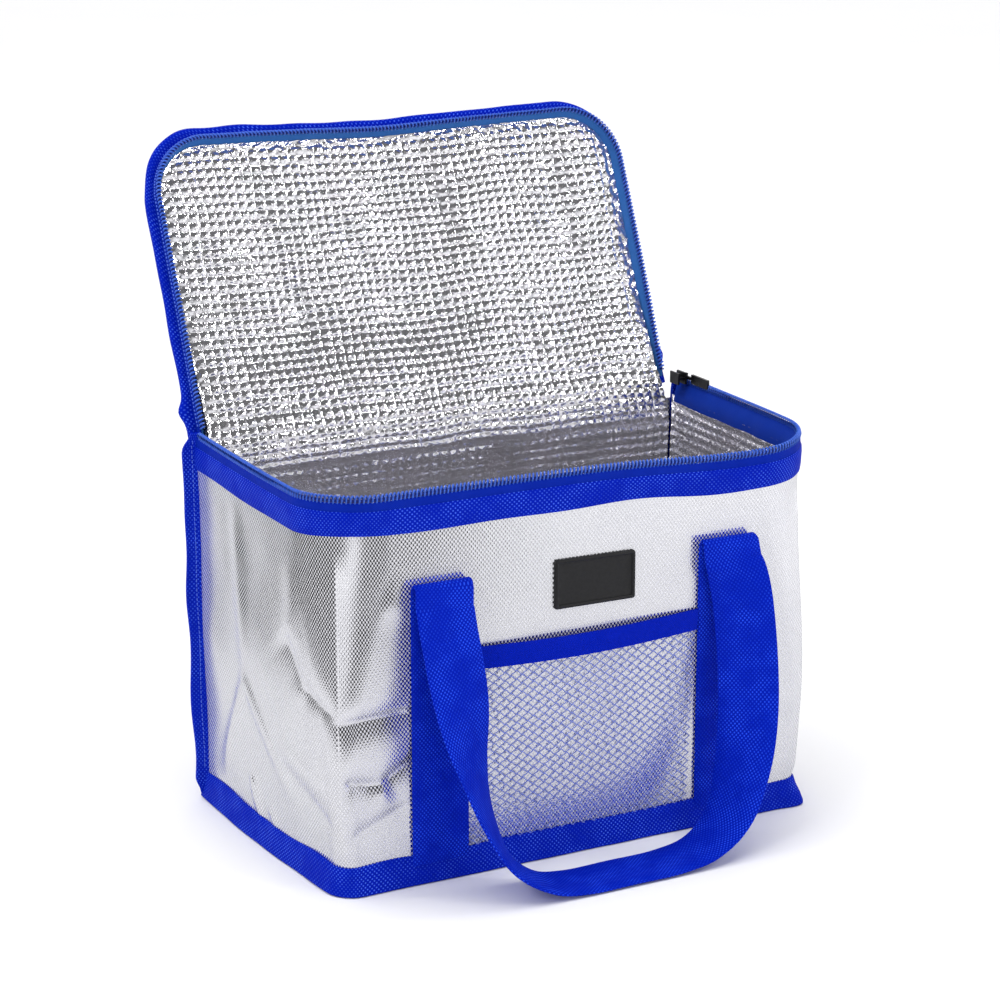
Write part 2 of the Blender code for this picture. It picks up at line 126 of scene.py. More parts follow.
def rounded_path(s, marks, corners, radii, closed):
    """Points at distances s along straight sides between corners, with corner k rounded to radii[k]."""
    sides = len(marks) - 1
    side = np.clip(np.searchsorted(marks, s, side="right") - 1, 0, sides - 1)

    def pick(k):
        return np.take_along_axis(corners, k[None, ..., None], axis=0)[0]

    start, end = pick(side), pick(side + 1)
    f = (s - marks[side]) / (marks[side + 1] - marks[side])
    point = start + (end - start) * f[..., None]
    for k, radius in radii.items():
        before = (k - 1) % sides if closed else k - 1
        here = corners[k]
        to_back = unit(corners[before] - here)
        to_ahead = unit(corners[k + 1] - here)
        reach = np.linalg.norm(point - here, axis=-1)
        sign = np.where(side == k, 1.0, -1.0)
        near = (reach < radius) & ((side == k) | (side == before))
        turn = (1 + sign * np.clip(reach / radius, 0, 1)) * math.pi / 4
        arc = here + (radius * (1 - np.sin(turn)))[..., None] * to_back
        arc = arc + (radius * (1 - np.cos(turn)))[..., None] * to_ahead
        point = np.where(near[..., None], arc, point)
    return point


# ---------------------------------------------------------------- the shape of the soft body

# Creases of the walls, in mm: from (distance round the wall, height) to the same, width, ridge height.
# The distance starts at the rear left corner; the front left corner is at 154, the front right one at 434.
CREASES = (
    ((54, 84), (24, 24), 5, 1.3),
    ((54, 84), (108, 34), 5, 1.2),
    ((50, 178), (55, 86), 7, 0.7),
    ((96, 62), (146, 48), 7, 1.2),
    ((112, 120), (118, 168), 9, 0.9),
    ((184, 150), (206, 140), 8, 0.8),
    ((60, 34), (72, 8), 3, 1.6),
    ((80, 24), (90, 6), 3, 1.3),
    ((566, 150), (560, 60), 9, 1.5),
    ((500, 60), (470, 110), 8, 1.4),
    ((500, 60), (540, 30), 6, 1.2),
    ((428, 62), (392, 50), 6, 0.8),
    ((700, 170), (690, 60), 14, 1.2),
    ((780, 150), (800, 50), 12, 1.4),
)
# Valleys with a sharp upper lip: from, to, width above the lip, width below it, depth, in mm.
VALLEYS = (
    ((104, 124), (122, 101), 6, 12, 1.5),
    ((122, 101), (152, 94), 4, 11, 2.4),
    ((155, 90), (203, 92), 3, 10, 3.0),
    ((157, 60), (178, 56), 3, 9, 2.7),
    ((178, 56), (205, 71), 3, 10, 2.7),
    ((158, 30), (196, 44), 4, 12, 1.5),
    ((100, 52), (148, 34), 4, 12, 1.4),
)
CORNER_RIDGE = 1.9 * MM  # how far the pressed fold stands out along each front corner
BASE_BULGE = 3.0 * MM


def corner_radius(z):
    opening = smoothstep((z - CREASE_LOW) / (CREASE_HIGH - CREASE_LOW))
    return BASE_RADIUS + (RIM_RADIUS - BASE_RADIUS) * opening


def outline(s, z, inset):
    """The body's outline at height z: (x, y) at distance s round it from the rear left corner."""
    t = np.clip(z / RIM_Z, 0, 1.05)

    def across(low_high):
        return HALF_WIDTH + low_high[0] + (low_high[1] - low_high[0]) * t - inset

    rear = np.broadcast_to(REAR_Y - inset, t.shape)
    front = np.broadcast_to(FRONT_Y + inset, t.shape)
    rear_left = np.stack([-across(REAR_LEFT_OUT), rear], -1)
    front_left = np.stack([-across(FRONT_LEFT_OUT), front], -1)
    front_right = np.stack([across(FRONT_RIGHT_OUT), front], -1)
    rear_right = np.stack([across(REAR_RIGHT_OUT), rear], -1)
    corners = np.stack([rear_left, front_left, front_right, rear_right, rear_left])
    least = np.full(t.shape, 2.0 * MM)
    round_front = np.maximum(corner_radius(z) - inset, least)
    radii = {0: least, 1: round_front, 2: round_front, 3: least}
    return rounded_path(s, MARKS, corners, radii, closed=True)


def beside_fold(u, v, start, end):
    """Where (u, v) lies by a fold, given in mm: its share of the way along, and how far beside."""
    start, run = np.array(start) * MM, (np.array(end) - start) * MM
    du, dv = u - start[0], v - start[1]
    length = np.hypot(*run)
    return (du * run[0] + dv * run[1]) / length**2, (du * run[1] - dv * run[0]) / length


def rounded_ends(along, before, first, after, last):
    """1 on a fold, fading out over first and last beyond its two ends."""
    return smoothstep((along + before) / first) * smoothstep((after - along) / last)


def wall_relief(s, z):
    """How far the cloth stands out of the plain walls: the folds and slack of a soft bag."""
    share = np.clip(z / RIM_Z, 0, 1)
    total = BASE_BULGE * np.sin(np.pi * np.clip(s / SIDE, 0, 1)) * (1 - share)
    for start, length, bulge in ((MARKS[2], SIDE, 2 * MM), (MARKS[3], FRONT, 3 * MM)):
        across = np.clip((s - start) / length, 0, 1)
        total = total + bulge * np.sin(np.pi * across) * np.sin(np.pi * share)
    fine = 0.0
    for start, end, width, height in CREASES:
        along, beside = beside_fold(s, z, start, end)
        ends = rounded_ends(along, 0.12, 0.3, 1.12, 0.4)
        fine = fine + height * MM * bump_at(beside, 0, width * MM) * ends
    for start, end, above, below, depth in VALLEYS:
        along, under = beside_fold(s, z, start, end)
        ends = rounded_ends(along, 0.15, 0.35, 1.15, 0.45)
        wide = np.where(under > 0, below, above) * MM
        fine = fine - depth * MM * np.exp(-np.abs(under) / wide) * ends
    for mark in MARKS[1:3]:
        low = rise(z, 8, 24) * rise(z, 186, 156)
        fine = fine + CORNER_RIDGE * np.exp(-np.abs(s - mark) / (6.0 * MM)) * low
    slack = 0.12 + 0.88 * rise(s, 210, 150) + 0.5 * rise(s, 440, 480)
    fine = fine + slack * (0.34 * MM * ripple(s, z, 56 * MM, 3) + 0.03 * MM * ripple(s, z, 21 * MM, 5))
    sewn = rise(z, 8, 24) * rise(z, 188, 170)
    return total + fine * sewn


def rim_drop(s):
    """The rim sags a little along the front."""
    f = (s - MARKS[1]) / FRONT
    left = np.sin(np.pi * np.clip(s / SIDE, 0, 1))
    return 4.0 * MM * bump_at(f, 0.83, 0.2) + 1.0 * MM * left


def same_shape(*values):
    return np.broadcast_arrays(*[np.asarray(value, float) for value in values])


def body(s, z, inset=0.0, relief=True):
    """A point of the body's cloth at distance s round the bag and height z, inset from the outer face."""
    s, z, inset = same_shape(s, z, inset)
    s = s % MARKS[4]
    point = outline(s, z, inset)
    step = 0.4 * MM
    ahead = outline((s + step) % MARKS[4], z, inset)
    behind = outline((s - step) % MARKS[4], z, inset)
    along = unit(ahead - behind)
    outward = np.stack([along[..., 1], -along[..., 0]], -1)
    if relief:
        point = point + outward * wall_relief(s, z)[..., None]
    height = z - rim_drop(s) * rise(z, 90, 185)
    return np.concatenate([point, height[..., None]], -1)


# ---------------------------------------------------------------- the shape of the lid

UP = np.array([0.0, math.sin(math.radians(24.6)), math.cos(math.radians(24.6))])
OUT = np.array([0.0, UP[2], -UP[1]])  # away from the inside of the open lid
LID_LENGTH = 159.2 * MM  # from the hinge to the plane of the lid's front edge wall
LID_LEFT, LID_RIGHT = -140.0 * MM, 141.6 * MM
LID_RADIUS = 33 * MM
LID_MARKS = np.cumsum([0, LID_LENGTH, LID_RIGHT - LID_LEFT, LID_LENGTH])
FOIL_D, SKIN_D = 9.0 * MM, 13.0 * MM  # depths behind the hinge plane
# Broad soft folds down the lid: from (x, height above the hinge) to the same, width, depth, in mm.
LID_FOLDS = (
    ((-54, 150), (-10, 45), 6, 1.5),
    ((-84, 120), (-66, 40), 7, 1.1),
    ((18, 148), (30, 90), 7, 1.2),
    ((52, 80), (66, 15), 6, 1.2),
    ((96, 140), (104, 60), 7, 1.2),
    ((-116, 100), (-108, 30), 7, 1.0),
)


def lid_bow(x, l):
    """The open lid's own slack: it leans, waves across and sags at its free edge."""
    free = smoothstep(l / LID_LENGTH)
    wave = 1.6 * MM * ripple(x, l * 0.25, 95 * MM, 11) * rise(l, 0, 50)
    for start, end, width, height in LID_FOLDS:
        along, beside = beside_fold(x, l, start, end)
        ends = rounded_ends(along, 0.2, 0.4, 1.2, 0.4)
        wave = wave + height * MM * bump_at(beside, 0, width * MM) * ends
    return wave + 1.5 * MM * free * np.cos(np.pi * x / FRONT)


def lid(x, l, d):
    """A point of the open lid: x across, l up from the hinge, d outward from the hinge plane."""
    x, l, d = same_shape(x, l, d)
    middle = np.cos(np.clip(x / FRONT, -0.5, 0.5) * 2 * np.pi)
    sag = 2.2 * MM * middle * smoothstep(l / LID_LENGTH - 0.3)
    depth = d + lid_bow(x, l)
    height = l - np.maximum(sag, -0.4 * MM)
    place = height[..., None] * UP + depth[..., None] * OUT
    place[..., 0] = x
    place[..., 1] += HINGE_Y
    place[..., 2] += HINGE_Z
    return place


def lid_edge(s, inset, d):
    """A point of the lid, inset from its edge, at distance s round it from the hinge's left end."""
    s, inset, d = same_shape(s, inset, d)
    left, right = LID_LEFT + inset, LID_RIGHT - inset
    top, low = LID_LENGTH - inset, np.zeros(s.shape)
    corners = np.stack([np.stack(c, -1) for c in ((left, low), (left, top), (right, top), (right, low))])
    radius = np.maximum(LID_RADIUS - inset, 3 * MM)
    point = rounded_path(s, LID_MARKS, corners, {1: radius, 2: radius}, closed=False)
    return lid(point[..., 0], point[..., 1], d)


def lid_rows(inset, columns, rows, low=0.0):
    """x and l of a grid that fills the lid's outline, set in from its edge."""
    l = np.linspace(low, LID_LENGTH - inset, rows)[None, :]
    radius = LID_RADIUS - inset
    over = np.clip(l - (LID_LENGTH - inset - radius), 0, radius)
    cut = radius - np.sqrt(np.maximum(radius**2 - over**2, 0))
    f = np.linspace(0, 1, columns)[:, None]
    left, right = LID_LEFT + inset + cut, LID_RIGHT - inset - cut
    return left + (right - left) * f, np.broadcast_to(l, (columns, rows))


# ---------------------------------------------------------------- materials


class Nodes:
    """Short ways to add shader nodes to one material."""

    def __init__(self, name):
        self.material = bpy.data.materials.new(name)
        self.material.use_nodes = True
        self.tree = self.material.node_tree
        self.shader = self.tree.nodes["Principled BSDF"]

    def add(self, kind, **values):
        node = self.tree.nodes.new(kind)
        for key, value in values.items():
            setattr(node, key, value)
        return node

    def plug(self, value, socket):
        if isinstance(value, bpy.types.NodeSocket):
            self.tree.links.new(value, socket)
        else:
            socket.default_value = value

    def math(self, operation, *values, clamp=False):
        node = self.add("ShaderNodeMath", operation=operation, use_clamp=clamp)
        for k, value in enumerate(values):
            self.plug(value, node.inputs[k])
        return node.outputs[0]

    def mix(self, factor, a, b):
        node = self.add("ShaderNodeMix", data_type="RGBA")
        self.plug(factor, node.inputs["Factor"])
        self.plug(a, node.inputs["A"])
        self.plug(b, node.inputs["B"])
        return node.outputs["Result"]

    def ramp(self, value, low, high, to_low=0.0, to_high=1.0):
        node = self.add("ShaderNodeMapRange", interpolation_type="SMOOTHSTEP")
        for k, v in enumerate((value, low, high, to_low, to_high)):
            self.plug(v, node.inputs[k])
        return node.outputs[0]

    def place(self):
        """The piece's own cloth coordinates, in metres."""
        split = self.add("ShaderNodeSeparateXYZ")
        self.tree.links.new(self.add("ShaderNodeTexCoord").outputs["UV"], split.inputs[0])
        return split.outputs[0], split.outputs[1]

    def noise(self, scale, detail=3.0, rough=0.55, coordinates="Object"):
        node = self.add("ShaderNodeTexNoise")
        self.tree.links.new(self.add("ShaderNodeTexCoord").outputs[coordinates], node.inputs["Vector"])
        node.inputs["Scale"].default_value = scale
        node.inputs["Detail"].default_value = detail
        node.inputs["Roughness"].default_value = rough
        return node.outputs[0]

    def weave(self, u, v, wide, tall):
        """Staggered bumps, from -1 to 1: wide apart along u, and tall from row to row along v."""
        across = self.math("COSINE", self.math("MULTIPLY", u, 2 * math.pi / wide))
        down = self.math("COSINE", self.math("MULTIPLY", v, math.pi / tall))
        return self.math("MULTIPLY", across, down)

    def bump(self, height, strength, distance, normal=None):
        node = self.add("ShaderNodeBump")
        node.inputs["Strength"].default_value = strength
        node.inputs["Distance"].default_value = distance
        self.plug(height, node.inputs["Height"])
        if normal is not None:
            self.plug(normal, node.inputs["Normal"])
        return node.outputs[0]

    def finish(self, color=None, metallic=None, roughness=None, normal=None, specular=0.5):
        for name, value in (("Base Color", color), ("Metallic", metallic), ("Roughness", roughness)):
            if value is not None:
                self.plug(value, self.shader.inputs[name])
        if normal is not None:
            self.plug(normal, self.shader.inputs["Normal"])
        self.shader.inputs["Specular IOR Level"].default_value = specular
        return self.material


def silver_material():
    """Woven cloth laminated with silver film: pale raised threads over mirror-like hollows."""
    n = Nodes("silver_laminate")
    u, v = n.place()
    weave = n.weave(u, v, 2.05 * MM, 1.27 * MM)
    dots = n.ramp(weave, -0.25, 0.5)
    worn = n.ramp(n.noise(35), 0.35, 0.7)
    color = n.mix(dots, (0.88, 0.88, 0.91, 1), (0.84, 0.84, 0.88, 1))
    color = n.mix(n.math("MULTIPLY", worn, 0.10), color, (0.70, 0.70, 0.78, 1))
    metallic = n.ramp(weave, -0.2, 0.6, 1.0, 0.25)
    roughness = n.math("ADD", n.ramp(weave, -0.4, 0.5, 0.13, 0.38), n.math("MULTIPLY", worn, 0.05))
    normal = n.bump(weave, 0.2, 0.12 * MM)
    return n.finish(color, metallic, roughness, normal, specular=0.3)


def foil_material():
    """Embossed aluminised film: bright and crinkled."""
    n = Nodes("foil_liner")
    crumple = n.add("ShaderNodeTexVoronoi", feature="F1", distance="EUCLIDEAN")
    n.tree.links.new(n.add("ShaderNodeTexCoord").outputs["Object"], crumple.inputs["Vector"])
    crumple.inputs["Scale"].default_value = 520
    fine = n.noise(900, 2.0)
    height = n.math("ADD", crumple.outputs["Distance"], n.math("MULTIPLY", fine, 0.5))
    normal = n.bump(height, 0.4, 0.4 * MM)
    tint = n.ramp(n.noise(60), 0.3, 0.7)
    color = n.mix(tint, (0.90, 0.90, 0.93, 1), (0.95, 0.93, 0.97, 1))
    return n.finish(color, 0.94, n.ramp(fine, 0.3, 0.7, 0.06, 0.16), normal)


def darker(color, share):
    return tuple(c * share for c in color[:3]) + (1,)


def cloth_material(name, base, light, wide, tall, sheen_amount, edge=0.25, rough=0.6, depth=0.16):
    """Woven blue cloth: a saturated ground and threads in staggered rows, wide x tall mm apart; the raised
    threads are lightened to the light colour in random patches, a painted sheen.
    """
    n = Nodes(name)
    u, v = n.place()
    weave = n.weave(u, v, wide * MM, tall * MM)
    patch = n.ramp(n.noise(70, 2.0), 0.35, 0.68)
    # painted sheen: the raised threads are lightened towards the light colour, more strongly in random patches
    threads = n.ramp(weave, edge, edge + 0.5)
    painted_sheen = n.math("MULTIPLY", threads, n.math("ADD", n.math("MULTIPLY", patch, sheen_amount), sheen_amount * 0.35))
    ground = n.mix(n.math("MULTIPLY", n.noise(240, 2.0), 0.35), base, darker(base, 0.55))
    color = n.mix(painted_sheen, ground, light)
    normal = n.bump(weave, 0.6, depth * MM)
    roughness = n.ramp(weave, -1.0, 1.0, rough + 0.1, rough - 0.12)
    return n.finish(color, None, roughness, normal, specular=0.04)


def plain_material(name, base, rough, metallic=0.0, grain=400.0, depth=0.05 * MM, spread=0.12):
    """Moulded plastic, foam, board or metal with a fine grain."""
    n = Nodes(name)
    grainy = n.noise(grain, 4.0, 0.6)
    color = n.mix(n.ramp(grainy, 0.3, 0.7), darker(base, 1 - spread * 2), base)
    roughness = n.ramp(n.noise(grain * 0.3), 0.3, 0.7, rough - 0.06, rough + 0.08)
    return n.finish(color, metallic, roughness, n.bump(grainy, 0.4, depth))


BLUE = (0.0, 0.012, 0.43, 1)
# painted sheen on the ribbon's raised threads
RIBBON_SHEEN_BLUE = (0.06, 0.15, 0.86, 1)
SILVER = silver_material()
FOIL = foil_material()
# The second colour of each cloth below is its painted sheen on the raised threads.
RIBBON = cloth_material("blue_ribbon", BLUE, RIBBON_SHEEN_BLUE, 2.5, 1.15, 0.62)
WEBBING = cloth_material("blue_webbing", BLUE, (0.018, 0.075, 0.80, 1), 2.1, 1.2, 0.75, edge=0.1)
TAPE = cloth_material("blue_tape", (0.001, 0.018, 0.36, 1), (0.02, 0.06, 0.55, 1), 0.9, 0.45, 0.4)
HEM = cloth_material("blue_hem", BLUE, (0.01, 0.03, 0.6, 1), 1.2, 0.6, 0.3)
# the lid lining's blue and its painted sheen on the raised threads
STEEL_BLUE, LINING_SHEEN_BLUE = (0.04, 0.16, 0.50, 1), (0.08, 0.22, 0.60, 1)
# painted shade: the lid's lining cloth darkened for the rim lining inside the bag, with its painted sheen
SHADED_LINING_BLUE, SHADED_LINING_SHEEN = (0.006, 0.03, 0.30, 1), (0.01, 0.05, 0.38, 1)
LINING = cloth_material(
    "blue_lining", STEEL_BLUE, LINING_SHEEN_BLUE, 0.8, 0.4, 0.5, rough=0.42, depth=0.05
)
SHADED_LINING = cloth_material(
    "dark_lining", SHADED_LINING_BLUE, SHADED_LINING_SHEEN, 0.8, 0.4, 0.5, rough=0.45, depth=0.05
)
NET = plain_material("blue_net", (0.20, 0.26, 0.72, 1), 0.5, grain=2500)
COIL = plain_material("blue_coil", (0.05, 0.15, 0.72, 1), 0.3, grain=1500)
# painted shade: a near-black blue for the cord inside the zipper coil, so the gaps between the teeth look shaded
PAINTED_SHADE_CORD = plain_material("dark_blue_cord", (0.0, 0.012, 0.20, 1), 0.6, grain=1500)
THREAD = plain_material("blue_thread", (0.10, 0.20, 0.84, 1), 0.5, grain=3000)
FOAM_WHITE = plain_material("white_foam", (0.85, 0.85, 0.84, 1), 0.85, grain=900, depth=0.2 * MM)
BOARD = plain_material("dark_board", (0.05, 0.05, 0.055, 1), 0.8, grain=300, depth=0.2 * MM)
BADGE = plain_material("charcoal_badge", (0.006, 0.006, 0.007, 1), 0.5, grain=2600, depth=0.06 * MM)
CARD = plain_material("studio_card", (0.57, 0.57, 0.58, 1), 0.9, grain=2, spread=0.06)
METAL = plain_material("black_metal", (0.02, 0.02, 0.022, 1), 0.32, 0.6, grain=1200)

# ---------------------------------------------------------------- mesh helpers


def mesh_object(name, points, faces, uv, material, sharp=None):
    mesh = bpy.data.meshes.new(name)
    mesh.from_pydata(np.asarray(points).reshape(-1, 3).tolist(), [], faces)
    if uv is not None:
        corner = np.zeros(len(mesh.loops), np.int32)
        mesh.loops.foreach_get("vertex_index", corner)
        layer = mesh.uv_layers.new(name="cloth")
        layer.data.foreach_set("uv", np.asarray(uv, np.float32).reshape(-1, 2)[corner].ravel())
    mesh.materials.append(material)
    mesh.shade_smooth()
    if sharp is not None:
        mesh.set_sharp_from_angle(angle=math.radians(sharp))
    mesh.validate()
    piece = bpy.data.objects.new(name, mesh)
    bpy.context.scene.collection.objects.link(piece)
    return piece


def grid_faces(rows, columns, offset=0, flip=False, wrap_rows=False, wrap_columns=False):
    i = np.arange(rows if wrap_rows else rows - 1)[:, None]
    j = np.arange(columns if wrap_columns else columns - 1)[None, :]
    i1, j1 = (i + 1) % rows, (j + 1) % columns
    quads = np.stack([i * columns + j, i1 * columns + j, i1 * columns + j1, i * columns + j1], -1)
    quads = quads.reshape(-1, 4)
    if flip:
        quads = quads[:, ::-1]
    return (quads + offset).tolist()


def sheet(name, points, uv, material, flip=False):
    """An open grid of cloth."""
    rows, columns = points.shape[:2]
    return mesh_object(name, points, grid_faces(rows, columns, flip=flip), uv, material)


def slab(name, outer, inner, uv, material, flip=False):
    """A closed slab between two grids of the same size."""
    rows, columns = outer.shape[:2]
    count = rows * columns
    index = np.arange(count).reshape(rows, columns)
    rim = np.concatenate([index[:, 0], index[-1, 1:], index[-2::-1, -1], index[0, -2:0:-1]])
    following = np.roll(rim, -1)
    faces = grid_faces(rows, columns, 0, flip) + grid_faces(rows, columns, count, not flip)
    edge = np.stack([rim, following, following + count, rim + count], -1)
    faces += (edge if flip else edge[:, ::-1]).tolist()
    both = np.concatenate([outer.reshape(-1, 3), inner.reshape(-1, 3)])
    flat = np.concatenate([np.asarray(uv).reshape(-1, 2)] * 2)
    return mesh_object(name, both, faces, flat, material, sharp=60)


def sweep(name, rings, lengths, widths, material, closed=False, flip=False, sharp=None):
    """A closed strip or cord: rings of one profile along a path, with its cloth coordinates."""
    count, around = rings.shape[:2]
    faces = grid_faces(count, around, flip=flip, wrap_rows=closed, wrap_columns=True)
    if not closed:
        first, last = list(range(around)), list(range((count - 1) * around, count * around))
        faces += [first[::-1], last] if flip else [first, last[::-1]]
    uv = np.stack(np.broadcast_arrays(np.asarray(lengths)[:, None], np.asarray(widths)[None, :]), -1)
    return mesh_object(name, rings, faces, uv, material, sharp)


def joined(name, parts, material):
    """One mesh from (points, faces) lists."""
    points, faces, base = [], [], 0
    for p, f in parts:
        points.append(np.asarray(p).reshape(-1, 3))
        faces += [[k + base for k in face] for face in f]
        base += len(points[-1])
    return mesh_object(name, np.concatenate(points), faces, None, material)


def tube(path, radius, sides=6, closed=False):
    """(points, faces) of a tube of that radius along a path."""
    path = np.asarray(path, float)
    if closed:
        along = unit(np.roll(path, -1, 0) - np.roll(path, 1, 0))
    else:
        along = unit(np.gradient(path, axis=0))
    helper = np.where(np.abs(along[:, 2:3]) > 0.9, np.array([[1.0, 0, 0]]), np.array([[0, 0, 1.0]]))
    across = unit(np.cross(along, helper))
    above = np.cross(across, along)
    turn = np.arange(sides) * 2 * math.pi / sides
    ring = across[:, None] * np.cos(turn)[None, :, None] + above[:, None] * np.sin(turn)[None, :, None]
    points = path[:, None] + ring * radius
    faces = grid_faces(len(path), sides, wrap_rows=closed, wrap_columns=True)
    if not closed:
        last = (len(path) - 1) * sides
        faces += [list(range(sides)), list(range(last, last + sides))[::-1]]
    return points, faces


def add(piece, body_name, slot, *nodes):
    """The piece rides on a body and stands for CAD nodes, which it hides; slot is not used."""
    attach(piece, body_name)
    if nodes:
        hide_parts(*nodes)
    return piece


def steps(low, high, size):
    return np.linspace(low, high, max(2, int(round((high - low) / size)) + 1))


# ---------------------------------------------------------------- quilted foil


def quilt(u, v, seed, edge=1.0):
    """Height of the embossed foil: rows of small pillows with pits where the furrows cross.

    edge runs from 0 at a sewn border, where the foil is crumpled, to 1."""
    u = u + 0.8 * MM * ripple(u, v, 38 * MM, seed)
    v = v + 0.5 * MM * ripple(u, v, 55 * MM, seed + 1)
    a, b = u / QUILT_X, v / QUILT_Z
    across = np.abs(2 * (a % 1) - 1)
    down = np.abs(2 * (b % 1) ** 0.8 - 1)
    puff = 0.9 + 0.22 * ripple(u, v, 23 * MM, seed + 2)
    facets = 1 - np.maximum(across, down) ** 1.15
    height = puff * (1.12 * facets - 0.12 * down)
    crumple = 0.10 * ripple(u, v, 4.4 * MM, seed + 3, 9) + 0.04 * ripple(u, v, 2.6 * MM, seed + 4, 9)
    shards = 0.35 * ripple(u, v, 6.5 * MM, seed + 5, 9) + 0.22 * ripple(u, v, 3.4 * MM, seed + 6, 9)
    return ((height + crumple) * (0.35 + 0.65 * edge) + shards * (1 - edge)) * 1.05 * MM


# ---------------------------------------------------------------- camera, light and floor


def aim(thing, place, target):
    direction = np.array(target) - np.array(place)
    thing.location = place
    flat = math.hypot(direction[0], direction[1])
    thing.rotation_euler = (math.atan2(flat, -direction[2]), 0, math.atan2(-direction[0], direction[1]))


def make_camera():
    data = bpy.data.cameras.new("camera")
    data.lens, data.sensor_width = 100, 36
    data.clip_end = 60
    camera = bpy.data.objects.new("camera", data)
    bpy.context.scene.collection.objects.link(camera)
    azimuth, elevation, distance = math.radians(27.86), math.radians(15.89), 1.52
    target = np.array([0.025, 0.059, 0.1485])
    level = math.cos(elevation)
    ahead = np.array([math.sin(azimuth) * level, math.cos(azimuth) * level, -math.sin(elevation)])
    aim(camera, target - ahead * distance, target)
    bpy.context.scene.camera = camera


def area_light(name, place, target, width, height, power, mirrored=False):
    """A softbox. Only a mirrored one shows in the foil; the others light the cloth."""
    data = bpy.data.lights.new(name, "AREA")
    data.shape, data.size, data.size_y, data.energy = "RECTANGLE", width, height, power
    light = bpy.data.objects.new(name, data)
    light.visible_glossy = mirrored
    bpy.context.scene.collection.objects.link(light)
    aim(light, place, target)


def make_world():
    """The studio as the foil mirrors it: pale near the floor, darker overhead, with soft uneven patches."""
    world = bpy.data.worlds.new("studio")
    bpy.context.scene.world = world
    world.use_nodes = True
    tree = world.node_tree
    kinds = "ValToRGB", "SeparateXYZ", "TexCoord", "TexNoise", "Math", "Math"
    ramp, split, place, noise, height, shift = (tree.nodes.new("ShaderNode" + kind) for kind in kinds)
    shift.operation, height.operation = "MULTIPLY_ADD", "ADD"
    noise.inputs["Scale"].default_value = 2.2
    noise.inputs["Detail"].default_value = 1.0
    tree.links.new(place.outputs["Generated"], split.inputs[0])
    tree.links.new(place.outputs["Generated"], noise.inputs["Vector"])
    tree.links.new(noise.outputs[0], shift.inputs[0])
    shift.inputs[1].default_value = 0.9
    shift.inputs[2].default_value = -0.45
    tree.links.new(split.outputs[2], height.inputs[0])
    tree.links.new(shift.outputs[0], height.inputs[1])
    tree.links.new(height.outputs[0], ramp.inputs[0])
    levels = (
        (0.0, 0.95), (0.22, 0.85), (0.38, 0.62), (0.52, 0.42), (0.62, 0.17), (0.8, 0.08), (1.0, 0.10),
    )
    while len(ramp.color_ramp.elements) < len(levels):
        ramp.color_ramp.elements.new(0.5)
    for element, (where, level) in zip(ramp.color_ramp.elements, levels):
        element.position = where
        element.color = (level, level, level * 1.02, 1)
    tree.links.new(ramp.outputs[0], tree.nodes["Background"].inputs[0])
    tree.nodes["Background"].inputs[1].default_value = 1.0


def hide_but_mirrored(thing):
    """A studio card that shows only in the shiny surfaces."""
    thing.visible_camera = False
    thing.visible_diffuse = False
    thing.visible_shadow = False
    thing.visible_transmission = False


def make_flag(name, points, height):
    """A black studio flag that only the shiny cloth mirrors."""
    points = smooth_curve(points, 40)
    levels = np.linspace(0, height, 4)
    rows = np.stack([np.column_stack([points, np.full(len(points), z)]) for z in levels], 1)
    black = plain_material(name + "_cloth", (0.02, 0.02, 0.02, 1), 0.9, grain=20)
    flag = sheet(name, rows, rows[..., :2], black)
    hide_but_mirrored(flag)


def make_stage():
    side = 24  # radius of the floor, in metres
    angles = np.arange(96) * 2 * math.pi / 96
    rim = np.stack([np.cos(angles) * side, np.sin(angles) * side, np.full(96, -0.2 * MM)], -1)
    points = np.concatenate([rim, [[0, 0, -0.2 * MM]]])
    faces = [[k, (k + 1) % 96, 96] for k in range(96)]
    paint = plain_material("studio_floor", (0.9, 0.9, 0.905, 1), 0.85, grain=3, spread=0.004)
    mesh_object("floor", points, faces, None, paint)
    make_world()
    sun = bpy.data.lights.new("overhead", "SUN")
    sun.energy, sun.angle = 2.75, math.radians(70)
    overhead = bpy.data.objects.new("overhead", sun)
    overhead.visible_glossy = False
    bpy.context.scene.collection.objects.link(overhead)
    aim(overhead, (-0.2, 0.25, 2.0), (0, 0, 0))
    area_light("key", (-1.3, 0.6, 2.2), (0, 0, 0.1), 1.6, 1.6, 7)
    area_light("front_fill", (1.0, -2.2, 0.9), (0, 0, 0.12), 1.8, 0.9, 6)
    area_light("left_fill", (-2.2, -0.6, 0.9), (0, 0, 0.1), 0.7, 1.4, 4)
    area_light("spark_front", (0.9, -1.5, 1.9), (0, 0, 0.3), 0.35, 0.35, 6, mirrored=True)
    area_light("spark_left", (-1.6, -0.9, 1.5), (0, 0, 0.3), 0.3, 0.5, 5, mirrored=True)
    area_light("spark_right", (1.9, -0.6, 1.2), (0, 0, 0.3), 0.3, 0.5, 5, mirrored=True)
    make_flag("front_flag", ((0.125, -0.47), (-0.02, -0.475), (-0.15, -0.48), (-0.295, -0.46)), 0.2)
    corner = (-0.405, -0.38), (-0.48, -0.2), (-0.5, -0.05), (-0.45, 0.12), (-0.31, 0.25), (-0.3, 0.37)
    make_flag("left_flag", corner, 0.2)
    card_share = 0.04  # of the floor's radius
    card_points = points * [card_share, card_share, 1] + [0, 0, 0.1 * MM]
    card = mesh_object("grey_card", card_points, faces, None, CARD)
    hide_but_mirrored(card)
    bpy.context.scene.view_settings.view_transform = "Standard"


# ---------------------------------------------------------------- body pieces


def wall_slab(name, s0, s1, z0, z1, outer, inner, size, material):
    s, z = np.meshgrid(steps(s0, s1, size), steps(z0, z1, size), indexing="ij")
    return slab(name, body(s, z, outer), body(s, z, inner), np.stack([s, z], -1), material)


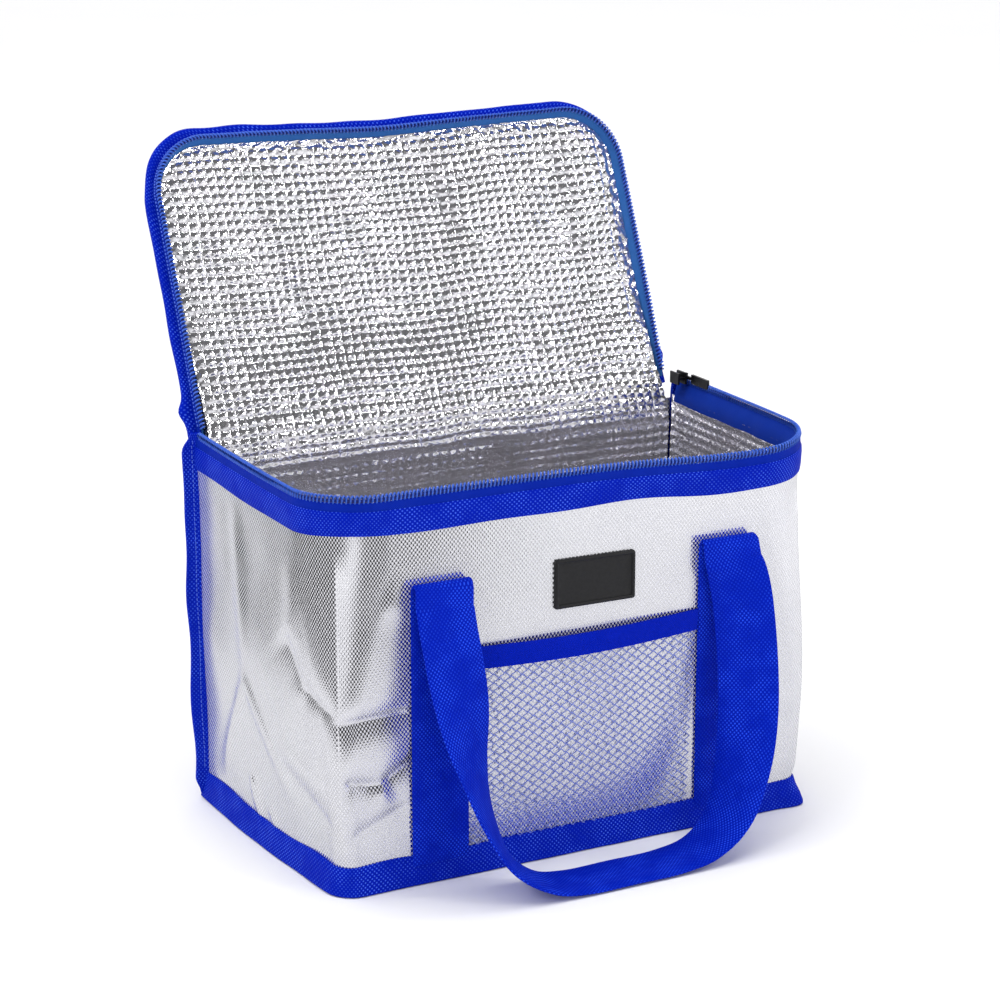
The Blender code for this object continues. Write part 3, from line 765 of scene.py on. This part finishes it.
def make_skins():
    end = MARKS[3]
    skin = wall_slab(
        "silver_wall", 0.6 * MM, end - 0.6 * MM, 1.2 * MM, 194 * MM, 0.0, 0.7 * MM, 1.5 * MM, SILVER
    )
    add(skin, "bag", "silver_laminate", "outer_wall")
    back = wall_slab(
        "silver_back", end + 1 * MM, MARKS[4] - 1 * MM, 1.2 * MM, 189 * MM, 0.0, 0.7 * MM, 2.5 * MM, SILVER
    )
    add(back, "bag", "silver_laminate", "back_panel")
    near, far = FOAM_INSET, FOAM_INSET + FOAM
    foam = wall_slab(
        "wall_padding", 6 * MM, end - 6 * MM, 3.5 * MM, 192 * MM, near, far, 4 * MM, FOAM_WHITE
    )
    add(foam, "bag", "white_foam", "wall_foam")
    back_foam = wall_slab(
        "back_padding", end + 7 * MM, MARKS[4] - 7 * MM, 3.5 * MM, 173 * MM, near, far, 5 * MM, FOAM_WHITE
    )
    add(back_foam, "bag", "white_foam", "back_foam")


def make_foil():
    size = 1.15 * MM
    run, height = steps(0.8 * MM, MARKS[3] - 0.8 * MM, size), steps(8.4 * MM, 192.5 * MM, size)
    s, z = np.meshgrid(run, height, indexing="ij")
    points = body(s, z, FOIL_INSET + quilt(s, z, 21))
    wall = sheet("foil_wall", points, np.stack([s, z], -1), FOIL, flip=True)
    add(wall, "bag", "foil_liner", "wall_liner")

    low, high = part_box("base_liner")
    base_z = 7.9 * MM
    y = steps(FRONT_Y + FOIL_INSET - 1 * MM, REAR_Y - FOIL_INSET + 1 * MM, size)[None, :]
    t = (y - FRONT_Y) / (REAR_Y - FRONT_Y)
    edge = HALF_WIDTH - FOIL_INSET + 1 * MM
    left = -(edge + FRONT_LEFT_OUT[0] + (REAR_LEFT_OUT[0] - FRONT_LEFT_OUT[0]) * t)
    left = left - BASE_BULGE * np.sin(np.pi * t)
    right = edge + FRONT_RIGHT_OUT[0] + (REAR_RIGHT_OUT[0] - FRONT_RIGHT_OUT[0]) * t
    f = np.linspace(0, 1, int((high.x - low.x) / size))[:, None]
    x = left + (right - left) * f
    y = np.broadcast_to(y, x.shape)
    points = np.stack([x, y, base_z + quilt(x, y, 41) * 0.8], -1)
    base = sheet("foil_base", points, np.stack([x, y], -1), FOIL)
    add(base, "bag", "foil_liner", "base_liner")


def make_back_and_lid_foil():
    """One foil runs up the back wall, over the hinge and up the lid."""
    size = 1.1 * MM
    height = steps(9 * MM, FOIL_SEAM_Z + 0.5 * MM, size)
    s = np.linspace(MARKS[4] - 0.8 * MM, MARKS[3] + 0.8 * MM, 255)
    ss, zz = np.meshgrid(s, height, indexing="ij")
    x_like = MARKS[4] - ss
    wall = body(ss, zz, FOIL_INSET + quilt(x_like, zz, 31))
    back = sheet("foil_back", wall, np.stack([x_like, zz], -1), FOIL)
    add(back, "bag", "foil_liner", "back_liner")

    x, l = lid_rows(4.0 * MM, 360, 212, low=6 * MM)
    near_hinge = 4.5 * MM * rise(l, 56, 6)
    to_side = np.minimum(x - x[:1], x[-1:] - x)
    border = smoothstep(np.minimum(to_side, LID_LENGTH - 4 * MM - l) / (9 * MM))
    pillows = quilt(x, l, LID_QUILT_SEED, border) * (0.3 + 0.7 * smoothstep(border * 4))
    up_lid = lid(x, l, FOIL_D - near_hinge - pillows)
    starts = body(np.linspace(s[0], s[-1], len(x)), FOIL_SEAM_Z, FOIL_INSET)
    ends = lid(x[:, 0], l[:, 0], FOIL_D - near_hinge[:, 0])
    middle = (starts + ends) / 2
    middle[:, 1:] = HINGE_Y - 4.0 * MM, HINGE_Z - 11 * MM
    fall = 33 * MM
    shares = np.linspace(0, 1, 36)[:-1]
    bend = []
    for t in shares:
        point = (1 - t) ** 2 * starts + 2 * t * (1 - t) * middle + t**2 * ends
        toward = 2 * (1 - t) * (middle - starts) + 2 * t * (ends - middle)
        inward = unit(np.stack([0 * toward[:, 0], -toward[:, 2], toward[:, 1]], -1))
        pillows = quilt(x[:, 0], l[:, 0] - fall * (1 - t), LID_QUILT_SEED)
        bend.append(point + inward * pillows[:, None] * smoothstep(t * 5))
    strip = np.concatenate([np.stack(bend, 1), up_lid], 1)
    v = np.concatenate([l[0, 0] - fall * (1 - shares), l[0]])
    uv = np.stack(np.broadcast_arrays(x[:, :1], v[None, :]), -1)
    liner = sheet("foil_lid", strip, uv, FOIL)
    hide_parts("lid_liner")
    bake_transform(liner)


def all_round(size):
    """Distances all the way round the body, with one at each corner."""
    return np.concatenate([steps(a, b, size)[:-1] for a, b in zip(MARKS[:-1], MARKS[1:])])


def stacked_rings(name, rings, uv, material, sharp):
    """A closed piece from rings of points, each a loop of the same count."""
    levels, count = rings.shape[:2]
    faces = grid_faces(levels, count, wrap_columns=True, flip=True)
    faces += [list(range(count)), list(range((levels - 1) * count, levels * count))[::-1]]
    return mesh_object(name, rings, faces, uv, material, sharp=sharp)


def make_base():
    """The underside's skin, board and foam, each a slab that follows the outline."""
    for name, node, inset, z0, z1, material, slot in (
        ("silver_base", "base_panel", 0.8, 0.05, 0.9, SILVER, "silver_laminate"),
        ("base_card", "base_board", 2.2, 1.2, 2.7, BOARD, "dark_board"),
        ("base_padding", "base_foam", 2.2, 3.0, 6.6, FOAM_WHITE, "white_foam"),
    ):
        s = all_round(6 * MM)
        edge = body(s, 0.0, inset * MM)
        middle = edge.mean(0)
        rings = []
        for scale, z in ((0.0, z0), (0.5, z0), (1.0, z0), (1.0, z1), (0.5, z1), (0.0, z1)):
            ring = middle + (edge - middle) * max(scale, 0.02)
            ring[:, 2] = z * MM
            rings.append(ring)
        rings = np.stack(rings)
        piece = stacked_rings(name, rings, rings[..., :2], material, 50)
        add(piece, "bag", slot, node)


def run_along(points):
    """The distance along a path at each of its points."""
    return np.concatenate([[0], np.cumsum(np.linalg.norm(np.diff(points, axis=0), axis=1))])


def band_profile(points):
    """(inset, height) of a ribbon's closed cross-section, in metres, and the distance along it."""
    profile = np.array(points) * MM
    return profile, run_along(profile)


# Cross-sections of the bands round the body: (inset, height) in mm, closed.
BOTTOM_BAND = (
    (0.2, 14.8), (-0.6, 15.0), (-1.3, 14.2), (-1.9, 10.5), (-2.7, 6.0), (-3.6, 2.0),
    (-3.8, 0.7), (-3.2, 0.1), (-1.5, 0.0), (0.4, 0.0), (0.5, 7.0),
)
RIM_BAND = (
    (0.3, 183.6), (-0.4, 183.2), (-1.0, 184.0), (-1.3, 187.0), (-1.3, 192.5),
    (-1.1, 195.0), (-0.5, 196.0), (0.3, 195.8), (0.5, 190.0),
)
LOWER_TAPE = (
    (0.6, 194.6), (-0.2, 194.4), (-0.35, 197.0), (-0.1, 199.6), (0.4, 200.4), (0.9, 200.2), (0.9, 197.0),
)
RIM_LINING = (
    (1.0, 200.3), (1.7, 200.0), (6.6, 193.6), (6.9, 189.0), (6.5, 188.8), (6.2, 193.2), (1.3, 199.2),
)


def make_ribbons():
    # bottom binding, a folded ribbon all the way round
    profile, run = band_profile(BOTTOM_BAND)
    close = [mark + d * MM for mark in MARKS[:4] for d in (0.4, 0.9, -0.4, -0.9)]
    s = np.sort(np.concatenate([all_round(2 * MM), close]) % MARKS[4])
    wave = 0.5 * MM * ripple(s, 0 * s, 34 * MM, 71)
    inset = profile[None, :, 0] + np.where(profile[None, :, 0] < 0, 0.5, 0.0) * wave[:, None]
    height = profile[None, :, 1] * (1 + 0.04 * ripple(s, 0 * s, 41 * MM, 72)[:, None])
    flare = 4.2 * bump_at(s, MARKS[2], 9 * MM) + 1.8 * bump_at(s, MARKS[3], 9 * MM)
    low = rise(profile[None, :, 1], 15, 2)
    inset = inset - flare[:, None] * MM * low * (profile[None, :, 0] < 0)
    ring = body(s[:, None], height, inset)
    ring[..., 2] = np.maximum(height, 0)
    bottom = sweep("bottom_ribbon", ring, s, run, RIBBON, closed=True, sharp=50)
    add(bottom, "bag", "blue_ribbon", "bottom_binding")

    # rim band, from one rear corner round the front to the other
    profile, run = band_profile(RIM_BAND)
    s = steps(1.5 * MM, MARKS[3] - 1.5 * MM, 2 * MM)
    wave = 0.35 * MM * ripple(s, 0 * s, 30 * MM, 75)
    inset = profile[None, :, 0] + np.where(profile[None, :, 0] < -0.45, 1.0, 0.0) * wave[:, None]
    lift = 0.5 * MM * ripple(s, 0 * s, 52 * MM, 76)
    ring = body(s[:, None], profile[None, :, 1] + lift[:, None] * (profile[None, :, 1] < 188 * MM), inset)
    band = sweep("rim_ribbon", ring, s, run, RIBBON, sharp=50)
    add(band, "bag", "blue_ribbon", "top_binding")


def make_fin(name, node, side):
    """A ribbon folded over the rear corner seam; it stands out like a fin."""
    z = steps(3.0 * MM, 203 * MM, 2.0 * MM)
    base = body(MARKS[0] if side < 0 else MARKS[3], np.minimum(z, 198 * MM), 0.6 * MM, relief=False)
    base[:, 2] = z
    turn = math.radians(20)
    out = np.array([side * math.cos(turn), math.sin(turn), 0])
    flat = np.array([-side * math.sin(turn), math.cos(turn), 0])
    seed = 81 if side < 0 else 83
    width = 8.6 * MM + 0.7 * MM * ripple(z, 0 * z, 42 * MM, seed)
    width = width * (1 - 0.55 * rise(z, 190, 203) ** 2) * (1 - 0.35 * rise(z, 12, 3))
    sway = 0.6 * MM * ripple(z, 0 * z, 60 * MM, seed + 1)
    face = [(-0.25, 0.75), (0.05, 1.0), (0.35, 1.0), (0.42, 0.75), (0.75, 1.0), (0.93, 0.95)]
    profile = face + [(1.0, 0.0)] + [(a, -b) for a, b in face[::-1]]
    half = 1.15 * MM
    rings = []
    for point, w, bend in zip(base, width, sway):
        ring = [point + out * w * a + flat * (half * b + bend * max(a, 0) ** 2) for a, b in profile]
        rings.append(ring)
    rings = np.array(rings)
    run = run_along(np.array(profile) * [9.3 * MM, half])
    fin = sweep(name, rings, z, run, RIBBON, flip=side > 0, sharp=60)
    add(fin, "bag", "blue_ribbon", node)
    stitches = []
    for z0 in np.arange(18, 198, 2.6) * MM:
        k = min(int((z0 - z[0]) / (z[1] - z[0])), len(z) - 2)
        for face in (1, -1):
            a = base[k] + out * width[k] * 0.385 + flat * (face * half * 0.8 + sway[k] * 0.15)
            b = a + np.array([0, 0, 1.7 * MM])
            a[2], b[2] = z0, z0 + 1.7 * MM
            middle = (a + b) / 2 + flat * face * 0.22 * MM
            stitches.append(tube([a, middle, b], 0.22 * MM, 5))
    thread = joined(name + "_stitches", stitches, THREAD)
    add(thread, "bag", "blue_ribbon")


def zipper_coil(name, centre, out, up, pitch, material):
    """A zipper's coil: a flattened helix round the path, whose turns are the teeth."""
    per_turn = 8
    distance = run_along(centre)
    turns = int(distance[-1] / pitch)
    t = np.arange(turns * per_turn + 1) / per_turn
    at = t * pitch

    def read(values):
        return np.stack([np.interp(at, distance, values[:, k]) for k in range(3)], -1)

    middle, o, u = read(centre), unit(read(out)), unit(read(up))
    angle = 2 * math.pi * t
    path = middle + o * (1.15 * MM * np.cos(angle))[:, None] + u * (2.0 * MM * np.sin(angle))[:, None]
    # the cord takes the dark painted-shade colour, which darkens the gaps between the teeth
    cord = tube(middle[:: per_turn // 2] - u[:: per_turn // 2] * 0.5 * MM, 0.8 * MM, 6)
    teeth = joined(name, [tube(path, 0.48 * MM, 6)], material)
    return teeth, joined(name + "_cord", [cord], PAINTED_SHADE_CORD)


def make_lower_zipper():
    profile, run = band_profile(LOWER_TAPE)
    s = steps(1.5 * MM, MARKS[3] - 1.5 * MM, 2 * MM)
    inset = profile[None, :, 0] + 0 * s[:, None]
    rings = body(s[:, None], profile[None, :, 1], inset)
    tape = sweep("lower_tape", rings, s, run, TAPE, sharp=50)
    add(tape, "bag", "blue_tape", "lower_zipper_tape")

    s = steps(3 * MM, MARKS[3] - 3 * MM, 1.0 * MM)
    centre = body(s, np.full(s.shape, COIL_Z), 1.1 * MM)
    inner = body(s, np.full(s.shape, COIL_Z), 3.1 * MM)
    up = np.broadcast_to(np.array([0, 0, 1.0]), centre.shape)
    coil, cord = zipper_coil("lower_coil", centre, centre - inner, up, 2.1 * MM, COIL)
    add(coil, "bag", "blue_coil", "lower_zipper_coil")
    add(cord, "bag", "blue_tape")

    profile, run = band_profile(RIM_LINING)
    s = steps(4 * MM, MARKS[3] - 4 * MM, 2.5 * MM)
    wave = 0.4 * MM * ripple(s, 0 * s, 25 * MM, 91)
    inset = profile[None, :, 0] + wave[:, None] * (profile[None, :, 0] > 5 * MM)
    rings = body(s[:, None], profile[None, :, 1], inset)
    # a darker copy of the lid's lining: painted shade inside the rim
    lining = sweep("rim_lining", rings, s, run, SHADED_LINING, flip=True, sharp=50)
    add(lining, "bag", "blue_lining", "body_rim_lining")


# ---------------------------------------------------------------- lid pieces


# Cross-sections of the bands round the lid: (inset, depth) in mm, closed.
LID_BAND = (
    (0.6, 10.0), (-2.2, 9.6), (-3.6, 9.9), (-4.3, 11.2), (-4.1, 12.9),
    (-2.8, 13.9), (0.5, 14.4), (4.5, 14.2), (4.6, 13.4), (0.6, 13.4),
)
UPPER_TAPE = (-0.1, 4.6), (-0.35, 7.0), (-0.1, 10.4), (0.5, 10.4), (0.3, 7.0), (0.5, 4.6)
LID_LINING = (0.7, 4.2), (1.3, 4.6), (3.2, 8.6), (4.4, 9.8), (4.2, 10.4), (1.4, 9.6), (0.7, 6.0)


def lid_sweep(name, points, material, wave=0.0, seed=0, flip=False, low=0.0):
    """A strip round the lid's free edges; points are (inset, depth) of its closed cross-section, in mm."""
    profile, run = band_profile(points)
    s = steps(low, LID_MARKS[3] - low, 2 * MM)
    sway = wave * ripple(s, 0 * s, 37 * MM, seed)
    from_hinge = np.minimum(s, LID_MARKS[3] - s)
    on_top = smoothstep((s - LID_MARKS[1] + 30 * MM) / (40 * MM))
    on_top = on_top * smoothstep((LID_MARKS[2] + 10 * MM - s) / (50 * MM))
    wide = 1.0 + 0.5 * on_top + 0.75 * bump_at(from_hinge, 13 * MM, 5 * MM)
    wide = wide - 0.2 * smoothstep((s - LID_MARKS[2]) / (20 * MM)) if wave else 0 * s + 1
    inset = profile[None, :, 0] * np.where(profile[None, :, 0] < -1 * MM, wide[:, None], 1.0)
    inset = inset + sway[:, None] * (profile[None, :, 0] < 0)
    depth = profile[None, :, 1] + 0.6 * sway[:, None]
    return sweep(name, lid_edge(s[:, None], inset, depth), s, run, material, flip=flip, sharp=50)


def lid_bulge(x, l):
    """The padded lid's outer skin is a little fuller in the middle."""
    fullness = np.sin(np.pi * np.clip(l / LID_LENGTH, 0, 1))
    return (1.2 + 0.7 * ripple(x, l, 70 * MM, 15)) * MM * fullness


def make_lid():
    x, l = lid_rows(0.6 * MM, 150, 90, low=1.5 * MM)
    skin = SKIN_D + lid_bulge(x, l)
    outer, inner = lid(x, l, skin), lid(x, l, skin - 0.7 * MM)
    panel = slab("silver_lid", outer, inner, np.stack([x, l], -1), SILVER, flip=True)
    add(panel, "lid", "silver_laminate", "lid_panel")
    x, l = lid_rows(6 * MM, 80, 46, low=6 * MM)
    outer, inner = lid(x, l, SKIN_D - 1.1 * MM + lid_bulge(x, l)), lid(x, l, FOIL_D + 0.8 * MM)
    foam = slab("lid_padding", outer, inner, np.stack([x, l], -1), FOAM_WHITE, flip=True)
    add(foam, "lid", "white_foam", "lid_foam")

    ribbon = lid_sweep("lid_ribbon", LID_BAND, RIBBON, wave=0.35 * MM, seed=61, low=-3.0 * MM)
    add(ribbon, "lid", "blue_ribbon", "lid_binding")
    tape = lid_sweep("upper_tape", UPPER_TAPE, TAPE)
    add(tape, "lid", "blue_tape", "upper_zipper_tape")
    lining = lid_sweep("lid_lining", LID_LINING, LINING, seed=66)
    add(lining, "lid", "blue_lining", "lid_rim_lining")

    s = steps(2 * MM, LID_MARKS[3] - 2 * MM, 1.0 * MM)
    centre = lid_edge(s, 0.9 * MM, 3.3 * MM)
    inner = lid_edge(s, 2.9 * MM, 3.3 * MM)
    up = np.broadcast_to(-OUT, centre.shape)
    coil, cord = zipper_coil("upper_coil", centre, centre - inner, up, 2.1 * MM, COIL)
    add(coil, "lid", "blue_coil", "upper_zipper_coil")
    add(cord, "lid", "blue_tape")
    dots = []
    for place in np.arange(4 * MM, LID_MARKS[3] - 4 * MM, 2.0 * MM):
        span = np.array([place, place + 0.5 * MM, place + 1.0 * MM])
        dots.append(tube(lid_edge(span, -0.35 * MM, 6.2 * MM), 0.42 * MM, 5))
    thread = joined("upper_tape_stitches", dots, THREAD)
    add(thread, "lid", "blue_coil")


def make_hinge_skin():
    """The outer cloth where back and lid meet, rolled over the hinge."""
    x = steps(LID_LEFT + 1 * MM, LID_RIGHT - 1 * MM, 3 * MM)
    wall = body(MARKS[4] - (x - LID_LEFT) - 0.5 * MM, HINGE_SKIN_Z, -0.3 * MM)
    wall[:, 0] = x
    end = lid(x, 4 * MM, SKIN_D + 0.4 * MM)
    middle = end.copy()
    middle[:, 1:] = HINGE_Y + 5.5 * MM, HINGE_Z - 4.5 * MM
    rings = []
    for t in np.linspace(0, 1, 9):
        rings.append((1 - t) ** 2 * wall + 2 * t * (1 - t) * middle + t**2 * end)
    outer = np.stack(rings, 1)
    inner = outer - np.array([0, 0.6, 0.25]) * MM
    uv = np.stack(np.broadcast_arrays(x[:, None], np.linspace(0, 14 * MM, 9)[None, :]), -1)
    fold = slab("hinge_skin", outer, inner, uv, SILVER, flip=True)
    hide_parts("hinge_fold")
    start, end = (0, HINGE_Y, HINGE_Z - 7 * MM), (0, HINGE_Y + 10 * MM, HINGE_Z + 1 * MM)
    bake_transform(fold)


# ---------------------------------------------------------------- webbing, pocket, badge


STRAP_X = 82 * MM
STRAP_HALF = 15.6 * MM
# A handle's loop: x and height in mm, from the left fold down to the floor and up to the right fold.
LOOP = (
    (-83.0, 146), (-82.5, 130), (-80.0, 100), (-77.5, 70), (-72.0, 43), (-61.5, 19),
    (-45.0, 5.5), (-26.0, 1.6), (0.0, 1.6), (28.0, 1.9), (49.0, 6.0),
    (65.5, 19), (76.0, 43), (82.0, 70), (84.5, 100), (84.5, 130), (82.5, 146),
)
# How the webbing turns as it drops: drop in mm, degrees.
LEFT_TWIST = ((0, 45, 60, 85, 105, 118, 135, 152), (0, 0, 10, 39, 54, 60, 70, 90))
RIGHT_TWIST = ((0, 8, 24, 75, 109, 130, 152), (0, 14, 28, 32, 55, 70, 90))
LOOP_STANDS = ((0, 8, 25, 60, 100, 150), (0, 3.2, 8, 15.5, 23.5, 32.5))  # drop, way out from the bag, in mm


def smooth_curve(points, count):
    """A smooth curve through points, by Catmull and Rom's rule."""
    p = np.array(points, float)
    p = np.concatenate([[2 * p[0] - p[1]], p, [2 * p[-1] - p[-2]]])
    places = np.linspace(0, len(p) - 3, count)
    k = np.minimum(places.astype(int), len(p) - 4)
    t = (places - k)[:, None]
    a, b, c, d = p[k], p[k + 1], p[k + 2], p[k + 3]
    return 0.5 * (2 * b + (c - a) * t + (2 * a - 5 * b + 4 * c - d) * t**2 + (3 * b - a - 3 * c + d) * t**3)


def handle_frames(side):
    """Centre points and turns of one handle's webbing. side is -1 at the front and 1 at the back."""
    wall_z = steps(10 * MM, 149 * MM, 4 * MM)
    s_left = MARKS[1] + HALF_WIDTH - STRAP_X if side < 0 else MARKS[4] - (HALF_WIDTH - STRAP_X)
    run = body(s_left, wall_z, -1.3 * MM)
    run[:, 0] = -STRAP_X
    fold_y = run[-1, 1]
    loop_y = side * (PIVOT_Y * -1 + 2.4 * MM)
    reach = (loop_y - fold_y) / 2
    turn = np.linspace(0, math.pi, 9)[1:-1]
    fold_z = 153 * MM + np.sin(turn) * abs(reach) * 1.3
    fold = np.stack([0 * turn - STRAP_X, fold_y + reach - np.cos(turn) * reach, fold_z], -1)
    curve = smooth_curve(np.array(LOOP) * MM, 121)
    hang = np.clip(150 * MM - curve[:, 1], 0, None) / MM
    y = side * (abs(loop_y) + np.interp(hang, *LOOP_STANDS) * MM)
    loop = np.stack([curve[:, 0], y, curve[:, 1]], -1)
    mirror = np.array([-1.0, 1, 1])
    path = np.concatenate([run, fold, loop, (fold * mirror)[::-1], (run * mirror)[::-1]])
    drop = np.clip(PIVOT_Z - path[:, 2], 0, None) / MM
    on_loop = np.zeros(len(path))
    first = len(run) + len(fold)
    on_loop[first:-first] = 1
    left, right = np.interp(drop, *LEFT_TWIST), np.interp(drop, *RIGHT_TWIST)
    twist = np.radians(np.where(np.arange(len(path)) < len(path) / 2, left, right)) * on_loop
    twist = np.convolve(np.pad(twist, 3, mode="edge"), np.ones(7) / 7, mode="valid")
    return path, twist, first


def turn_weave(piece):
    """Swaps a strip's cloth coordinates, so that its rows of weave run across it."""
    layer = piece.data.uv_layers[0]
    values = np.zeros(len(layer.data) * 2, np.float32)
    layer.data.foreach_get("uv", values)
    layer.data.foreach_set("uv", values.reshape(-1, 2)[:, ::-1].ravel())


def make_handle(side):
    path, twist, first = handle_frames(side)
    along = unit(np.gradient(path, axis=0))
    # the width lies along the wall at the top and turns to point away from the bag on the floor
    turned = np.where(np.arange(len(path)) < len(path) / 2, 1.0, -1.0)
    width = np.stack([turned * np.cos(twist), -side * np.sin(twist), np.zeros(len(path))], -1)
    width = unit(width - along * (width * along).sum(1, keepdims=True))
    thick = np.cross(along, width)
    face = ((-1, 0.35), (-0.96, 1), (-0.5, 1), (0, 1), (0.5, 1), (0.96, 1), (1, 0.35))
    profile = face + tuple((a, -b) for a, b in face[::-1])
    rings = np.stack([path + width * STRAP_HALF * a + thick * 0.75 * MM * b for a, b in profile], 1)
    distance = run_along(path)
    name = "front" if side < 0 else "rear"
    across = np.array([a for a, b in profile]) * STRAP_HALF
    piece = sweep(name + "_webbing", rings, distance, across, WEBBING, sharp=50)
    turn_weave(piece)
    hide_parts(name + "_handle", name + "_strap_left", name + "_strap_right")
    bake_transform(piece)


POCKET_HALF = 67 * MM
POCKET_LOW, POCKET_HIGH = 10 * MM, 109 * MM
CELL_X, CELL_Z = 6.4 * MM, 4.6 * MM  # cells of the net
# The hem's closed cross-section: share of its height, and how far it stands out in mm.
HEM_PROFILE = (
    (0.0, 0.2), (0.02, 0.95), (0.3, 1.05), (0.7, 1.05), (0.98, 0.95), (1.0, 0.2),
    (0.98, -0.6), (0.5, -0.6), (0.02, -0.6),
)


def pocket_point(x, z):
    """A point of the mesh pocket, which stands a little off the front wall."""
    x, z = np.broadcast_arrays(np.asarray(x, float), np.asarray(z, float))
    s = MARKS[1] + HALF_WIDTH + x
    wall = body(s, z, 0.0)
    belly = np.cos(np.clip(x / POCKET_HALF, -1, 1) * np.pi / 2) * smoothstep((z - POCKET_LOW) / (40 * MM))
    belly = belly * (0.6 + 0.4 * np.clip(z / POCKET_HIGH, 0, 1))
    free = smoothstep((z - POCKET_LOW) / (14 * MM))
    wall[..., 1] -= 0.3 * MM + 1.1 * MM * free + 2.6 * MM * belly
    return wall


def make_pocket():
    strands = []
    slope = CELL_Z / CELL_X
    step = 1.1 * MM
    for direction in (1, -1):
        offset = -POCKET_HALF * 2 - 120 * MM
        while offset < POCKET_HALF * 2 + 120 * MM:
            x = np.arange(-POCKET_HALF, POCKET_HALF, step)
            z = POCKET_LOW + direction * slope * (x - offset)
            keep = (z > POCKET_LOW - 1 * MM) & (z < POCKET_HIGH)
            if keep.sum() > 3:
                x, z = x[keep], z[keep]
                wiggle = 0.28 * MM * np.sin(2 * np.pi * (x - offset) / CELL_X * 2)
                points = pocket_point(x, z + wiggle)
                points[:, 1] += direction * 0.12 * MM  # one set of strands lies over the other
                strands.append(tube(points, 0.27 * MM, 5))
            offset += CELL_X
    net = joined("pocket_net", strands, NET)
    add(net, "bag", "blue_mesh", "pocket_mesh")

    x = steps(-POCKET_HALF, POCKET_HALF, 2.5 * MM)
    tilt = 1.6 * MM + 0.4 * MM * x / POCKET_HALF - 1.9 * MM * np.cos(x / POCKET_HALF * np.pi / 2)
    low, high = 107.2 * MM + tilt, 119.0 * MM + tilt
    rings = []
    for f, stand in HEM_PROFILE:
        z = low + (high - low) * f
        ring = pocket_point(x, z)
        ring[:, 1] -= stand * MM
        rings.append(ring)
    rings = np.stack(rings, 1)
    run = np.array([0, 1, 4, 9, 11, 12, 13, 18, 24]) * MM
    hem = sweep("pocket_ribbon", rings, x, run, HEM, sharp=50, flip=True)
    add(hem, "bag", "blue_ribbon", "pocket_hem")


def rounded_rectangle(width, height, radius, segments=5):
    points = []
    for cx, cz, start in ((1, 1, 0), (-1, 1, 90), (-1, -1, 180), (1, -1, 270)):
        corner = np.array([cx * (width / 2 - radius), cz * (height / 2 - radius)])
        for a in np.linspace(start, start + 90, segments):
            t = math.radians(a)
            points.append(corner + radius * np.array([math.cos(t), math.sin(t)]))
    return np.array(points)


# The badge from its edge to its middle: inset, and how far it stands out, in mm.
BADGE_PROFILE = (
    (0.0, -0.6), (0.0, 0.9), (0.25, 1.5), (0.8, 1.85), (1.5, 1.85),
    (2.0, 1.5), (2.2, 1.05), (2.6, 0.95), (6.0, 0.95), (11.5, 0.95),
)


def make_badge():
    """A moulded patch: a raised, rounded border round a blank sunk face."""
    centre_x, centre_z = 5.6 * MM, 145 * MM
    width, height = 46.5 * MM, 26 * MM
    rings = []
    for inset, stand in BADGE_PROFILE:
        radius = max(1.6 * MM - inset * MM, 0.3 * MM)
        loop = rounded_rectangle(width - 2 * inset * MM, height - 2 * inset * MM, radius)
        x, z = loop[:, 0] + centre_x, loop[:, 1] + centre_z
        s = MARKS[1] + HALF_WIDTH + x
        ring = body(s, z, 0.0)
        ring[:, 0] = x
        ring[:, 1] -= stand * MM
        rings.append(ring)
    rings = np.stack(rings)
    badge = stacked_rings("badge_patch", rings, rings[..., [0, 2]], BADGE, 40)
    add(badge, "bag", "charcoal_badge", "badge")


def finish_slider():
    for name in ("zipper_slider", "zipper_pull"):
        node = frame["nodes"][name]
        node.data.materials.clear()
        node.data.materials.append(METAL)


make_camera()
make_stage()
make_skins()
make_foil()
make_back_and_lid_foil()
make_base()
make_ribbons()
make_fin("rear_left_fin", "rear_left_binding", -1)
make_fin("rear_right_fin", "rear_right_binding", 1)
make_lower_zipper()
make_lid()
make_hinge_skin()
make_handle(-1)
make_handle(1)
make_pocket()
make_badge()
finish_slider()
